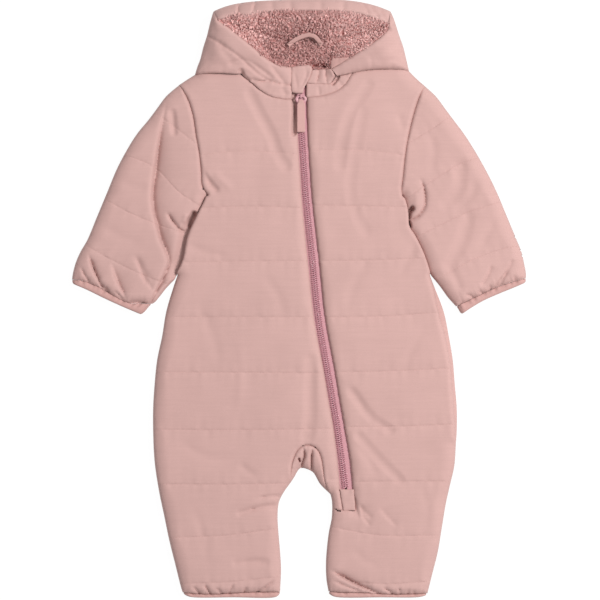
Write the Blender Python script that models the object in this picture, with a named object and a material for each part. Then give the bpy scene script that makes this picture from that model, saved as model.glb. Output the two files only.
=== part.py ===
"""Padded baby snowsuit, zipped up and laid out flat on its back.

Blender 4.5, metres, +Z up.  The suit lies on the ground: x runs across it towards the
wearer's left, y runs from the feet up to the hood, and z is height above the ground.  The
origin lies on the ground under the middle of the garment.

Every cloth piece is a wall.  A table gives the plan of each seam and silhouette as knots in
millimetres, neighbouring pieces share the same sampled seam and stand SEAM_GAP apart, and
the faces of a wall are height functions of the distance to those seams, to the quilting and
to the folds.  Right and left are the wearer's.
"""

import math
from dataclasses import dataclass

import bmesh
import bpy
import numpy as np
from mathutils import Matrix, Vector
from mathutils.geometry import delaunay_2d_cdt

MM = 0.001

# ---------------------------------------------------------------- driving sizes, millimetres
SEAM_GAP = 0.3          # free space between two pieces at a seam
BACK_TOP = 8.0          # thickness of the back, which lies on the ground
FRONT_BASE = 8.3        # the fronts lie on the back
FRONT_CREST = 18.5      # height of the middle of a quilted channel on the fronts
SLEEVE_CREST = 18.0     # the same on a sleeve
LIE_LINE = 8.15         # height at which the two layers of a tube meet
QUILT_FALL = 2.6        # depth of a line of quilting below the crest
QUILT_REACH = 27.0      # distance over which the wadding swells back to full height
WALL = 7.0              # thickness of a padded wall at a fold
TAPE_TOP = 12.4         # zip tape
CHAIN_TOP = 14.6        # closed teeth
CHAIN_HALF = 3.4        # half the width of the closed teeth
MOUTH_GAP = 2.4         # height of the slit left open at a cuff or hem
SLEEVE_SLIT = 1.0       # height of the slit between the two layers of a sleeve
SLIT_PITCH = 22.0       # spacing of the points that hold a sleeve's slit open
BINDING_WALL = 4.5      # thickness of a binding at its two ends
BINDING_FOOT = 2.6      # how far a binding's underside stands in from its ends
STEP = 13.0             # spacing of the samples along a seam
BINDING_CREST = 14.6    # height of the bindings that finish cuffs and hems
HOOD_WALL = 5.0         # thickness of the hood's padded sides
HOOD_LAYER_GAP = 0.8    # free space between the hood's curved layers
PILE = 8.0              # thickness of the pile lining
BOWL_FLOOR = 17.5       # height of the lining in the middle of the open hood
BOWL_SLOPE = 38.0       # distance from the rim over which the lining comes down to its floor
NECK_ZONE = (20.0, 52.0, 276.0)   # middle, half width and upper end of what lies under collar and garage
HINGE = (2.4, 232.9, 18.6)   # axis of the zip pull, which runs across the slider
PULL_WIRE = 0.6         # radius of the pull's ring
PULL_RING = (3.9, 5.6)  # half width and length of the ring between its centre lines
PULL_HOLE = 0.9         # radius of the tab's loop round the ring
BAIL_HALF = 0.8         # half the width of the slider's bail

# ---------------------------------------------------------------- plan of seams, knots (x, y)
PLAN = {
    # sleeves to body
    "armhole_right": ((-137.4, 246.7), (-127.6, 228.8), (-121.9, 210.4), (-118.4, 187.4), (-115.0, 169.0),
                      (-112.7, 148.3), (-111.5, 129.9), (-104.6, 119.6)),
    "armhole_left": ((144.3, 245.5), (136.8, 228.8), (129.9, 205.8), (125.3, 185.1), (121.9, 164.4),
                     (119.6, 141.4), (117.9, 125.3), (119.0, 118.4)),
    # body side lying against the sleeve, then free
    "tuck_right": ((-104.6, 119.6), (-109.2, 109.2), (-116.1, 95.4), (-126.5, 72.4), (-132.2, 44.8), (-139.7, 27.6)),
    "tuck_left": ((119.0, 118.4), (121.9, 110.4), (124.2, 97.7), (125.3, 83.9), (132.2, 72.4), (141.4, 54.0),
                  (150.6, 27.6)),
    "side_right": ((-139.7, 27.6), (-144.9, 12.6), (-152.9, -14.9), (-157.5, -42.5), (-163.3, -70.1),
                   (-166.2, -97.7), (-167.9, -125.3), (-167.9, -152.9), (-166.2, -187.4), (-161.0, -221.9),
                   (-155.2, -249.5), (-149.5, -277.1), (-142.6, -304.8), (-135.7, -332.3), (-134.0, -337.5)),
    "side_left": ((150.6, 27.6), (156.4, 12.6), (166.8, -14.9), (172.5, -42.5), (177.1, -70.1), (179.4, -97.7),
                  (181.7, -125.3), (181.7, -152.9), (180.5, -169.0)),
    "side_seam_left": ((150.6, 27.6), (155.4, 11.5), (158.1, -3.4), (160.8, -17.2), (165.4, -33.3), (171.3, -58.6),
                       (176.0, -97.7), (178.2, -129.9), (180.5, -169.0)),
    "thigh_left": ((180.5, -169.0), (178.8, -192.0), (173.6, -215.0), (169.0, -235.7), (164.4, -263.3),
                   (159.8, -290.9), (152.9, -318.5), (148.9, -334.6), (147.8, -338.7)),
    # hems, inner legs and crotch
    "hem_right": ((-134.0, -337.5), (-118.4, -339.2), (-95.4, -339.6), (-73.6, -338.4), (-56.3, -337.3),
                  (-40.2, -337.3), (-21.8, -336.9)),
    "hem_left": ((33.9, -336.4), (47.1, -337.6), (65.5, -337.9), (81.6, -338.4), (96.6, -339.4), (111.5, -339.8),
                 (129.9, -339.5), (147.8, -338.7)),
    "inseam_right": ((-21.8, -336.9), (-20.7, -311.6), (-21.8, -290.9), (-23.6, -270.2), (-24.7, -249.5),
                     (-23.0, -233.4), (-17.2, -221.9), (-9.8, -211.6)),
    "inseam_left": ((38.3, -240.3), (37.6, -253.0), (34.5, -267.9), (32.2, -286.3), (31.0, -304.8), (31.6, -323.1),
                    (33.9, -336.4)),
    "crotch": ((-9.8, -211.6), (-5.2, -204.7), (1.3, -194.7), (10.3, -196.2), (16.5, -199.8), (24.1, -212.7),
               (36.2, -224.8)),
    "gusset_seam": ((-9.8, -211.6), (-9.2, -201.2), (-6.9, -185.8), (-1.3, -174.1), (6.0, -168.8), (13.3, -168.8),
                    (20.7, -173.4), (25.1, -182.8), (27.3, -196.1), (29.7, -211.3), (36.2, -224.8)),
    "strip_side": ((36.2, -224.8), (37.9, -232.3), (38.3, -240.3)),
    "strip_seam": ((38.3, -240.3), (43.7, -243.0), (51.5, -243.0)),
    "patch_seam": ((51.5, -243.0), (63.6, -242.6)),
    # neck, shoulders and the hood's lower fold
    "neck_right": ((-66.1, 258.8), (-61.1, 253.6), (-54.0, 248.4), (-44.8, 240.3), (-33.3, 233.4), (-19.5, 230.0),
                   (-8.0, 229.4)),
    "hood_fold_right": ((-119.6, 258.2), (-104.6, 259.5), (-88.5, 259.5), (-72.4, 258.6), (-66.1, 258.8)),
    "shoulder_right": ((-119.6, 258.2), (-128.8, 252.4), (-137.4, 246.7)),
    "hood_fold_left": ((60.9, 259.9), (72.0, 262.2), (85.0, 263.8), (98.9, 264.2), (111.5, 263.8), (126.5, 262.2)),
    "hood_fold_neck": ((43.7, 256.4), (52.9, 258.2), (60.9, 259.9)),
    "shoulder_left": ((126.5, 262.2), (135.7, 253.0), (144.3, 245.5)),
    "nape": ((-119.6, 258.2), (-104.6, 260.8), (-88.5, 260.9), (-66.1, 260.2), (-40.0, 258.0), (20.0, 258.0),
             (60.9, 261.5), (85.0, 265.3), (110.0, 265.3), (126.5, 262.2)),
    "neck_left": ((60.9, 259.9), (57.5, 253.0), (51.7, 244.9), (39.1, 236.9), (24.1, 232.8), (8.4, 231.4)),
    # hood silhouette, face opening and the band between them
    "hood_side_right": ((-119.6, 258.2), (-116.7, 267.9), (-113.8, 274.8), (-110.4, 288.6), (-105.8, 302.4),
                        (-102.3, 316.2), (-98.3, 330.6)),
    "hood_top": ((-98.3, 330.6), (-85.1, 335.6), (-71.3, 339.2), (-51.7, 341.5), (-27.6, 342.9), (-2.3, 343.8),
                 (21.8, 343.8), (42.5, 343.8), (56.3, 342.7), (70.1, 340.9), (87.4, 336.9), (105.2, 330.6)),
    "hood_side_left": ((105.2, 330.6), (109.2, 320.8), (113.8, 307.0), (119.6, 290.9), (123.6, 274.8),
                       (126.5, 262.2)),
    "corner_right": ((-98.3, 330.6), (-93.1, 319.7)),
    "corner_left": ((105.2, 330.6), (102.9, 315.1)),
    "rim_right": ((-93.1, 319.7), (-77.0, 308.2), (-54.0, 289.8), (-35.6, 274.8), (-24.1, 269.1), (-8.3, 266.8)),
    "band_edge": ((-93.1, 319.7), (-83.9, 321.8), (-75.3, 325.6), (-58.6, 324.8), (-42.5, 327.8), (-26.4, 329.7),
                  (1.1, 330.0), (26.4, 330.0), (47.1, 329.4), (65.5, 327.1), (79.3, 323.6), (102.9, 315.1)),
    "rim_left": ((102.9, 315.1), (101.3, 308.8), (97.2, 303.6), (88.5, 296.7), (75.4, 287.5), (59.2, 277.6)),
    "rim_neck": ((59.2, 277.6), (47.1, 270.2), (36.8, 264.5)),
    "hood_end_right": ((-8.3, 266.8), (-8.6, 248.0), (-8.0, 229.4)),
    "hood_end_left": ((36.8, 264.5), (40.6, 260.6), (43.7, 256.4)),
    # small pieces at the neck
    "garage_top": ((-8.3, 266.8), (3.4, 268.9), (13.8, 268.5), (15.3, 263.9)),
    "garage_side": ((15.3, 263.9), (13.2, 257.0), (8.6, 247.5)),
    "garage_tip": ((8.6, 247.5), (5.3, 241.0), (5.1, 236.9), (-4.6, 236.5), (-8.1, 237.6)),
    "collar_top": ((15.3, 263.9), (24.1, 264.2), (36.8, 264.5)),
    "collar_seam": ((8.6, 247.5), (24.1, 247.2), (37.5, 247.6), (40.9, 252.0), (43.7, 256.4)),
    "hanger": ((-12.6, 291.5), (-4.6, 297.3), (4.6, 301.5), (12.6, 302.9), (19.5, 300.1), (25.9, 291.5)),
    "facing_top": ((36.8, 264.5), (37.4, 275.8), (47.1, 277.2), (59.2, 277.6)),
    # cuffs
    "sleeve_top_right": ((-137.4, 246.7), (-152.9, 233.4), (-163.3, 219.6), (-173.6, 205.8), (-185.1, 192.0),
                         (-194.3, 178.2), (-209.3, 150.6), (-220.8, 123.0), (-232.3, 95.4), (-243.8, 67.8),
                         (-251.8, 54.0), (-257.6, 40.2), (-260.5, 28.7), (-261.3, 22.4)),
    "cuff_seam_right": ((-261.3, 22.4), (-253.0, 22.0), (-241.5, 18.4), (-230.8, 13.8), (-215.0, 4.6),
                        (-201.8, -2.1), (-193.2, -5.3), (-182.5, -5.0), (-168.8, -5.5)),
    "underarm_right": ((-168.8, -5.5), (-162.1, 2.9), (-152.9, 14.4), (-141.5, 26.0)),
    "cuff_end_right": ((-260.6, 17.6), (-244.0, 10.5), (-222.1, -0.2), (-201.8, -9.4), (-181.0, -18.2)),
    "sleeve_top_left": ((144.3, 245.5), (157.5, 233.4), (167.9, 219.6), (178.2, 205.8), (188.6, 192.0),
                        (197.8, 178.2), (213.9, 150.6), (227.7, 123.0), (239.2, 95.4), (250.7, 67.8),
                        (256.2, 54.0), (259.3, 40.2), (261.4, 28.7), (261.2, 24.2)),
    "cuff_seam_left": ((261.2, 24.2), (245.5, 19.6), (231.1, 15.0), (214.0, 7.5), (195.0, -1.5), (180.7, -8.5)),
    "underarm_left": ((180.7, -8.5), (171.3, 2.0), (162.1, 14.8), (152.6, 26.4)),
    "cuff_end_left": ((261.0, 19.0), (247.0, 13.0), (231.0, 6.5), (212.0, -2.0), (196.0, -11.5), (187.0, -17.8)),
    # hem bindings
    "hem_end_right": ((-131.5, -340.8), (-124.0, -343.0), (-75.0, -343.3), (-27.0, -343.0), (-22.6, -340.4)),
    "hem_end_left": ((34.8, -340.0), (42.0, -342.8), (95.0, -343.3), (137.0, -343.1), (146.0, -341.4)),
}

# A height that changes along a path: knots (x, y, height)
OUTER_HEIGHT = ((-119.6, 258.2, 15.0), (-112.0, 284.0, 13.0), (-98.3, 330.6, 17.0), (-60.0, 341.0, 26.0),
                (0.0, 343.8, 28.0), (60.0, 342.5, 27.0), (105.2, 330.6, 17.0), (118.0, 295.0, 13.0),
                (126.5, 262.2, 15.0))
RIM_HEIGHT_RIGHT = ((-93.1, 319.7, 38.0), (-77.0, 308.2, 37.0), (-54.0, 289.8, 33.0), (-35.6, 274.8, 27.0),
                    (-24.1, 269.1, 23.5), (-8.3, 266.8, 19.5))
BAND_HEIGHT = ((-93.1, 319.7, 38.0), (-58.6, 324.8, 40.0), (1.1, 330.0, 41.0), (65.5, 327.1, 41.0),
               (102.9, 315.1, 38.0))
RIM_HEIGHT_LEFT = ((102.9, 315.1, 38.0), (88.5, 296.7, 35.5), (75.4, 287.5, 32.5), (59.2, 277.6, 28.5),
                   (36.8, 264.5, 21.5))
LOWER_HEIGHT_RIGHT = ((-119.6, 258.2, 15.0), (-104.6, 259.5, 20.5), (-66.1, 258.8, 21.5), (-44.8, 240.3, 17.5),
                      (-8.0, 229.4, 16.3))
LOWER_HEIGHT_LEFT = ((36.8, 264.5, 20.5), (43.7, 256.4, 19.5), (60.9, 259.9, 21.0), (98.9, 264.2, 21.0),
                     (126.5, 262.2, 15.0))

# The zip: height up the suit, then where its left tape edge, teeth and right tape edge run
ZIP_ROWS = (
    # y,      right, teeth, left
    (236.0, -3.8, 2.3, 8.2),
    (231.4, -3.6, 2.4, 8.4),
    (190.9, -1.4, 3.9, 9.9),
    (154.1, 0.7, 6.2, 12.2),
    (113.8, 3.4, 9.0, 15.2),
    (43.7, 10.3, 16.3, 23.2),
    (-20.7, 17.2, 22.8, 29.9),
    (-83.9, 28.7, 33.8, 41.4),
    (-116.1, 34.0, 39.3, 46.7),
    (-144.9, 39.1, 44.2, 51.7),
    (-185.1, 44.4, 49.8, 58.6),
    (-219.5, 47.4, 54.1, 61.8),
)

# Lines of quilting: piece, knots (x, y)
QUILTING = (
    ("front_right", ((-114.0, 165.7), (-67.9, 170.2), (0.0, 166.8))),
    ("front_right", ((-111.0, 105.0), (-60.0, 106.5), (6.0, 105.0))),
    ("front_right", ((-132.3, 42.5), (-60.0, 43.5), (10.0, 43.7))),
    ("front_right", ((-153.0, -20.7), (-60.0, -20.7), (17.0, -20.7))),
    ("front_right", ((-165.0, -84.0), (-60.0, -84.5), (28.0, -85.0))),
    ("front_right", ((-168.0, -150.0), (-60.0, -150.5), (38.0, -149.0))),
    ("front_right", ((-161.0, -212.7), (-80.0, -213.0), (-15.0, -212.0))),
    ("front_right", ((29.4, -207.8), (46.0, -207.0))),
    ("front_right", ((-149.5, -274.5), (-81.7, -271.5), (-24.0, -263.5))),
    ("front_right", ((-136.0, -327.0), (-84.0, -325.4), (-21.5, -319.0))),
    ("front_left", ((9.0, 171.2), (67.9, 171.5), (119.0, 166.0))),
    ("front_left", ((15.5, 108.1), (67.0, 107.0), (124.0, 106.0))),
    ("front_left", ((22.5, 43.7), (80.0, 44.5), (145.0, 47.0))),
    ("front_left", ((29.5, -20.7), (90.0, -20.0), (161.0, -15.5))),
    ("front_left", ((40.5, -84.0), (100.0, -83.0), (174.5, -79.5))),
    ("front_left", ((52.0, -147.0), (110.0, -146.5), (180.0, -144.0))),
    ("front_left", ((64.0, -210.0), (120.0, -209.5), (175.5, -209.5))),
    ("front_left", ((36.0, -262.0), (93.0, -271.5), (164.5, -271.5))),
    ("front_left", ((66.0, -325.5), (105.0, -327.5), (152.0, -324.0))),
    ("sleeve_right", ((-172.0, 219.5), (-145.0, 199.0), (-118.8, 178.5))),
    ("sleeve_right", ((-203.0, 166.8), (-166.8, 151.8), (-136.9, 121.9), (-112.0, 106.0))),
    ("sleeve_right", ((-224.0, 115.0), (-194.4, 98.9), (-150.0, 81.5), (-127.5, 76.0))),
    ("sleeve_right", ((-247.0, 63.0), (-215.0, 44.9), (-180.0, 28.0), (-152.0, 17.5))),
    ("sleeve_left", ((178.0, 213.0), (150.0, 194.0), (125.5, 179.4))),
    ("sleeve_left", ((209.0, 163.0), (185.2, 155.3), (150.0, 134.0), (121.5, 114.0))),
    ("sleeve_left", ((233.0, 112.0), (189.8, 97.8), (143.8, 75.9), (133.5, 70.5))),
    ("sleeve_left", ((255.0, 61.0), (238.1, 58.6), (196.6, 43.7), (158.0, 22.0))),
    ("hood_side_right", ((-105.8, 303.0), (-83.9, 288.6), (-67.8, 277.1), (-42.5, 255.3), (-21.8, 247.2),
                         (-9.5, 246.3))),
)

# The largest folds: piece, depth, half width, knots (x, y)
FOLDS = (
    ("front_right", 1.7, 9.0, ((-56.4, 236.0), (-44.8, 212.8), (-31.1, 187.5), (-24.2, 166.8), (-15.0, 153.0))),
    ("front_right", 2.2, 6.0, ((-107.0, 140.0), (-100.0, 128.0), (-93.0, 122.0))),
    ("front_right", 1.8, 10.0, ((13.8, -70.2), (12.7, -104.7), (12.7, -139.2), (9.5, -158.0))),
    ("front_right", 1.6, 6.0, ((-67.9, -246.1), (-49.5, -240.4), (-31.0, -238.0))),
    ("front_right", 1.2, 6.0, ((-72.5, -303.6), (-38.0, -302.5))),
    ("front_left", 1.5, 9.0, ((79.4, 246.0), (56.4, 205.9), (49.5, 178.3), (47.2, 153.0))),
    ("front_left", 1.3, 9.0, ((72.5, 215.1), (67.9, 182.9), (59.0, 130.0), (66.0, 98.0), (77.1, 77.1))),
    ("front_left", 1.4, 8.0, ((61.0, -107.0), (84.0, -136.9), (104.7, -150.7))),
    ("front_left", 1.4, 8.0, ((69.0, -158.0), (93.2, -185.2), (116.2, -208.2))),
    ("front_left", 2.0, 6.0, ((70.0, -236.0), (74.0, -251.0), (83.0, -262.0))),
    ("front_left", 3.2, 7.0, ((40.0, -314.0), (54.0, -321.5), (70.0, -330.0), (86.0, -334.0))),
    ("sleeve_right", 3.2, 8.0, ((-156.4, 205.9), (-159.9, 182.9), (-164.5, 153.0), (-167.9, 138.0),
                                (-166.8, 113.9), (-162.2, 90.9), (-156.4, 67.9), (-150.0, 46.0))),
    ("sleeve_right", 1.4, 6.0, ((-146.1, 215.1), (-143.8, 191.0))),
    ("sleeve_right", 2.4, 6.0, ((-153.0, 100.1), (-143.8, 88.6), (-136.5, 81.5))),
    ("sleeve_right", 2.4, 5.0, ((-240.4, 47.2), (-236.0, 33.0), (-229.5, 20.0))),
    ("sleeve_right", 2.4, 6.0, ((-213.9, 31.1), (-207.0, 17.0), (-200.0, 4.0))),
    ("sleeve_right", 2.0, 5.0, ((-187.5, 49.5), (-182.0, 33.0), (-175.0, 14.0))),
    ("sleeve_left", 3.2, 7.0, ((143.0, 130.0), (148.5, 118.5), (145.0, 104.7), (137.0, 93.2))),
    ("sleeve_left", 1.8, 9.0, ((185.2, 153.0), (182.9, 125.4), (169.1, 109.3))),
    ("sleeve_left", 1.8, 9.0, ((194.4, 95.5), (187.5, 67.9), (173.7, 40.3))),
    ("sleeve_left", 2.2, 5.0, ((222.0, 40.0), (216.0, 26.0), (208.0, 14.0))),
    ("sleeve_left", 2.0, 5.0, ((246.0, 47.0), (241.0, 36.0), (233.0, 25.0))),
    ("hood_side_right", 1.6, 6.0, ((-77.1, 270.3), (-63.3, 270.3), (-45.0, 262.0), (-33.3, 253.0))),
    ("hood_side_left", 1.0, 6.0, ((57.0, 272.0), (58.5, 264.5))),
    ("hood_lining", 3.4, 9.0, ((-50.0, 300.0), (-36.0, 285.0), (-32.0, 273.0))),
    ("hood_lining", 3.4, 9.0, ((62.0, 314.0), (42.0, 297.0), (34.0, 280.0))),
)


@dataclass(frozen=True)
class EdgeForm:
    """How the outer face of a wall comes down to one kind of edge."""

    fall: float          # depth below the crest at the edge
    reach: float         # distance over which it falls
    rounded: bool        # rolled over like a fold, or drawn down like a seam
    foot: float = 0.0    # how far the flat underside stands in from the edge


EDGE_FORMS = {
    "side": EdgeForm(fall=8.9, reach=17.0, rounded=True, foot=6.0),
    "fold": EdgeForm(fall=9.8, reach=17.0, rounded=True, foot=5.0),
    "seam": EdgeForm(fall=2.3, reach=8.0, rounded=False),
    "zip": EdgeForm(fall=4.6, reach=9.0, rounded=True),
    "hem": EdgeForm(fall=4.2, reach=10.0, rounded=False),
    "hidden": EdgeForm(fall=2.0, reach=6.0, rounded=False),
    "rim": EdgeForm(fall=0.0, reach=1.0, rounded=True),
    "crown": EdgeForm(fall=0.0, reach=1.0, rounded=True),
}

# The pull's tab, from its loop to its free end: distance from the hinge, half width, half thickness
TAB_SECTIONS = (
    (3.95, 2.5, 0.7),
    (4.3, 2.7, 1.25),
    (5.0, 2.7, 1.62),
    (5.6, 2.7, 1.7),
    (6.4, 2.7, 1.6),
    (7.3, 2.9, 1.3),
    (8.2, 4.0, 1.1),
    (9.2, 4.6, 1.0),
    (24.0, 4.6, 0.95),
    (40.6, 4.6, 0.95),
    (41.2, 4.3, 0.7),
)

# Half of the slider's plate seen from above, and of its bail seen from the side, about the hinge
SLIDER_PLATE = ((3.1, -7.5), (4.5, 0.6), (4.5, 2.4), (3.9, 3.0))
SLIDER_BAIL = ((2.4, 16.3), (2.4, 19.4), (1.6, 20.4), (-1.6, 20.4), (-2.4, 19.4), (-2.4, 16.3),
               (-1.3, 16.3), (-1.3, 18.9), (-0.8, 19.5), (0.8, 19.5), (1.3, 18.9), (1.3, 16.3))


# ---------------------------------------------------------------------- plan geometry
def spline(knots, step=STEP, fewest=1):
    """Samples a smooth curve through the knots at an even spacing near step."""
    knots = np.asarray(knots, float)
    if len(knots) == 2:
        dense = knots
    else:
        ends = np.vstack([2 * knots[0] - knots[1], knots, 2 * knots[-1] - knots[-2]])
        dense = []
        for before, start, finish, after in zip(ends, ends[1:], ends[2:], ends[3:]):
            legs = ((before, start), (start, finish), (finish, after))
            first, middle, last = (max(np.linalg.norm(b - a), 1e-6) ** 0.5 for a, b in legs)
            leave = (start - before) / first - (finish - before) / (first + middle) + (finish - start) / middle
            arrive = (finish - start) / middle - (after - start) / (middle + last) + (after - finish) / last
            leave, arrive = leave * middle, arrive * middle
            for t in np.linspace(0.0, 1.0, 9)[:-1]:
                dense.append((2 * t**3 - 3 * t**2 + 1) * start + (t**3 - 2 * t**2 + t) * leave
                             + (3 * t**2 - 2 * t**3) * finish + (t**3 - t**2) * arrive)
        dense = np.array(dense + [knots[-1]])
    lengths = np.concatenate([[0.0], np.cumsum(np.linalg.norm(np.diff(dense, axis=0), axis=1))])
    count = max(fewest, int(round(lengths[-1] / step)))
    stations = np.linspace(0.0, lengths[-1], count + 1)
    return np.column_stack([np.interp(stations, lengths, dense[:, k]) for k in range(dense.shape[1])])


def seam(name, step=STEP, reverse=False):
    """The sampled plan path of that name, the same for each piece that shares it."""
    path = spline(PLAN[name], step)
    return path[::-1] if reverse else path


def zip_path(column, reverse=False, whole=True):
    """Plan path of a zip edge or of the teeth, from the top or from the neck seam down."""
    places = [(row[column], row[0]) for row in ZIP_ROWS]
    path = spline(places[1:], 15.0)
    path = np.vstack([places[:1], path]) if whole else path
    return path[::-1] if reverse else path


def distance_to(points, path):
    """Distance from each point to a polyline, and the value of the path's third column there."""
    points = np.asarray(points, float)[:, :2]
    best = np.full(len(points), np.inf)
    value = np.zeros(len(points))
    for start, finish in zip(path, path[1:]):
        along = finish[:2] - start[:2]
        share = np.clip(((points - start[:2]) @ along) / max(along @ along, 1e-9), 0.0, 1.0)
        gap = np.linalg.norm(points - (start[:2] + share[:, None] * along), axis=1)
        nearer = gap < best
        best = np.where(nearer, gap, best)
        if path.shape[1] > 2:
            value = np.where(nearer, start[2] + share * (finish[2] - start[2]), value)
    return best, value


def is_inside(points, loop):
    """Whether each point lies inside a closed plan loop."""
    points = np.asarray(points, float)
    inside = np.zeros(len(points), bool)
    for (ax, ay), (bx, by) in zip(loop, np.roll(loop, -1, axis=0)):
        if ay != by:
            crosses = (ay > points[:, 1]) != (by > points[:, 1])
            inside ^= crosses & (points[:, 0] < (bx - ax) * (points[:, 1] - ay) / (by - ay) + ax)
    return inside


def moved_in(loop, depths):
    """A counter-clockwise loop with each of its sides moved inwards by its own depth."""
    depths = np.broadcast_to(depths, len(loop))
    sides = np.roll(loop, -1, axis=0) - loop
    sides /= np.linalg.norm(sides, axis=1)[:, None]
    normals = np.column_stack([-sides[:, 1], sides[:, 0]])
    moved = np.array(loop, float)
    for i in range(len(loop)):
        first, second, a, b = normals[i - 1], normals[i], depths[i - 1], depths[i]
        turn = first[0] * second[1] - first[1] * second[0]
        if abs(turn) < 0.25:
            middle = first + second
            shift = middle / np.linalg.norm(middle) * (a + b) / 2
        else:
            shift = np.array([a * second[1] - b * first[1], b * first[0] - a * second[0]]) / turn
        reach = np.linalg.norm(shift)
        limit = 1.45 * max(a, b)
        moved[i] += shift * min(1.0, limit / reach) if reach > 0 else 0.0
    return moved


def triangulated(loop, stations=(), chains=()):
    """Delaunay triangles over a plan loop and the stations inside it, kept along the chains."""
    points = [tuple(p) for p in loop] + [tuple(p) for p in stations]
    count = len(loop)
    sides = [(i, (i + 1) % count) for i in range(count)] + [(count + a, count + b) for a, b in chains]
    verts, _, faces, origins, _, _ = delaunay_2d_cdt(points, sides, [list(range(count))], 1, 1e-4)
    place = {}
    for index, sources in enumerate(origins):
        for source in sources:
            place[source] = index
    order = [place[i] for i in range(count)]
    rest = [i for i in range(len(verts)) if i not in set(order)]
    renumber = {old: new for new, old in enumerate(order + rest)}
    flat = np.array([tuple(verts[i]) for i in order + rest])
    triangles = []
    for face in faces:
        a, b, c = (renumber[i] for i in face)
        (bx, by), (cx, cy) = flat[b] - flat[a], flat[c] - flat[a]
        triangles.append((a, b, c) if bx * cy - cx * by > 0 else (a, c, b))
    return flat, triangles


# ---------------------------------------------------------------------- outlines
class Outline:
    """A piece's plan outline: stretches of seam in order, counter-clockwise, each with a kind of edge."""

    def __init__(self, *stretches):
        self.paths = [(kind, np.asarray(path, float)[:, :2]) for kind, path in stretches]
        points, kinds = [], []
        for kind, path in self.paths:
            points.extend(path[:-1])
            kinds.extend([kind] * (len(path) - 1))
        self.loop, self.kinds = np.array(points), kinds
        x, y = self.loop.T
        if np.sum(x * np.roll(y, -1) - np.roll(x, -1) * y) < 0:
            raise ValueError("an outline runs clockwise")

    def inset(self, depth_of):
        """The loop moved in by a depth that depends on the kind of edge, on top of half the seam gap."""
        return moved_in(self.loop, np.array([depth_of(kind) + SEAM_GAP / 2 for kind in self.kinds]))

    def forms(self):
        """Each kind of edge in the outline with all of its paths."""
        for kind, path in self.paths:
            yield EDGE_FORMS[kind], path


def swell(distance, reach):
    """0 at a stitched line, rising as padding does to 1 at the given reach."""
    share = np.clip(distance / reach, 0.0, 1.0)
    return np.sqrt(1.0 - (1.0 - share) ** 2)


def trough(distance, half_width):
    """1 along the bottom of a soft fold, easing to 0 at its half width."""
    return (1.0 - np.clip(distance / half_width, 0.0, 1.0) ** 2) ** 2


def quilted(points, piece, outline, crest):
    """Height of a padded outer face over its plan points."""
    drop = np.zeros(len(points))
    for form, path in outline.forms():
        gap, _ = distance_to(points, path)
        share = np.clip(gap / form.reach, 0.0, 1.0)
        law = 1.0 - np.sqrt(1.0 - (1.0 - share) ** 2) if form.rounded else (1.0 - share) ** 2
        drop = np.maximum(drop, form.fall * law)
    for owner, knots in QUILTING:
        if owner == piece:
            gap, _ = distance_to(points, spline(knots, 8.0))
            drop = np.maximum(drop, QUILT_FALL * (1.0 - swell(gap, QUILT_REACH)))
    return crest - drop - folded_in(points, piece)


def folded_in(points, piece):
    """Depth of a piece's folds over its plan points."""
    depth_here = np.zeros(len(points))
    for owner, depth, half_width, knots in FOLDS:
        if owner == piece:
            gap, _ = distance_to(points, spline(knots, 8.0))
            depth_here = np.maximum(depth_here, depth * trough(gap, half_width))
    return depth_here


def stations_on(piece, outline, rings=(4.0, 10.0), spacing=16.0, fill=0.0, guides=()):
    """Plan points inside an outline where its height turns: beside its edges, quilting and folds."""
    kept, chains = [], []
    loop = outline.loop

    def keep(candidates, least, clear):
        """Adds the candidates that stand clear of the edge and of the points kept so far."""
        candidates = np.asarray(candidates, float)
        edge_gap, _ = distance_to(candidates, np.vstack([loop, loop[:1]]))
        inside = is_inside(candidates, loop)
        places = []
        for point, gap, within in zip(candidates, edge_gap, inside):
            far = all(math.hypot(*(point - other)) > least for other in kept)
            if within and gap > clear and far:
                places.append(len(kept))
                kept.append(point)
            else:
                places.append(None)
        return places

    for guide in guides:
        places = keep(guide, 3.0, 1.5)
        chains += [(a, b) for a, b in zip(places, places[1:]) if a is not None and b is not None]
    lines = [(spline(knots, spacing), 6.0, 20.0) for owner, knots in QUILTING if owner == piece]
    folds = [(spline(knots, 12.0), half_width, None) for owner, _, half_width, knots in FOLDS if owner == piece]
    for path, _, _ in folds + lines:
        places = keep(path, 4.0, 2.2)
        chains += [(a, b) for a, b in zip(places, places[1:]) if a is not None and b is not None]
    for ring in rings:
        keep(outline.inset(lambda kind, ring=ring: ring), 3.6, 0.8 * ring)
    for path, near, far in folds + lines:
        heading = np.gradient(path, axis=0)
        side = np.column_stack([-heading[:, 1], heading[:, 0]]) / np.linalg.norm(heading, axis=1)[:, None]
        for reach in ((near, far) if far else (near,)):
            keep(path + side * reach, 5.0, rings[-1] + 3.0)
            keep(path - side * reach, 5.0, rings[-1] + 3.0)
    if fill:
        low, high = loop.min(axis=0), loop.max(axis=0)
        columns, rows = (np.arange(low[k] + fill / 2, high[k], fill) for k in (0, 1))
        keep([(x, y) for y in rows for x in columns], 0.7 * fill, rings[-1] + 0.3 * fill)
    return kept, chains


# ---------------------------------------------------------------------- solids
def add_object(name, mesh, finish, collection):
    """Links a mesh to the snowsuit's collection as a named object with its own material."""
    colour, roughness, metallic = FINISHES[finish]
    material = bpy.data.materials.new(name + "_" + finish)
    material.use_nodes = True
    shader = material.node_tree.nodes["Principled BSDF"]
    shader.inputs["Base Color"].default_value = (*colour, 1.0)
    shader.inputs["Roughness"].default_value = roughness
    shader.inputs["Metallic"].default_value = metallic
    mesh.materials.append(material)
    piece = bpy.data.objects.new(name, mesh)
    collection.objects.link(piece)
    return piece


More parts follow.
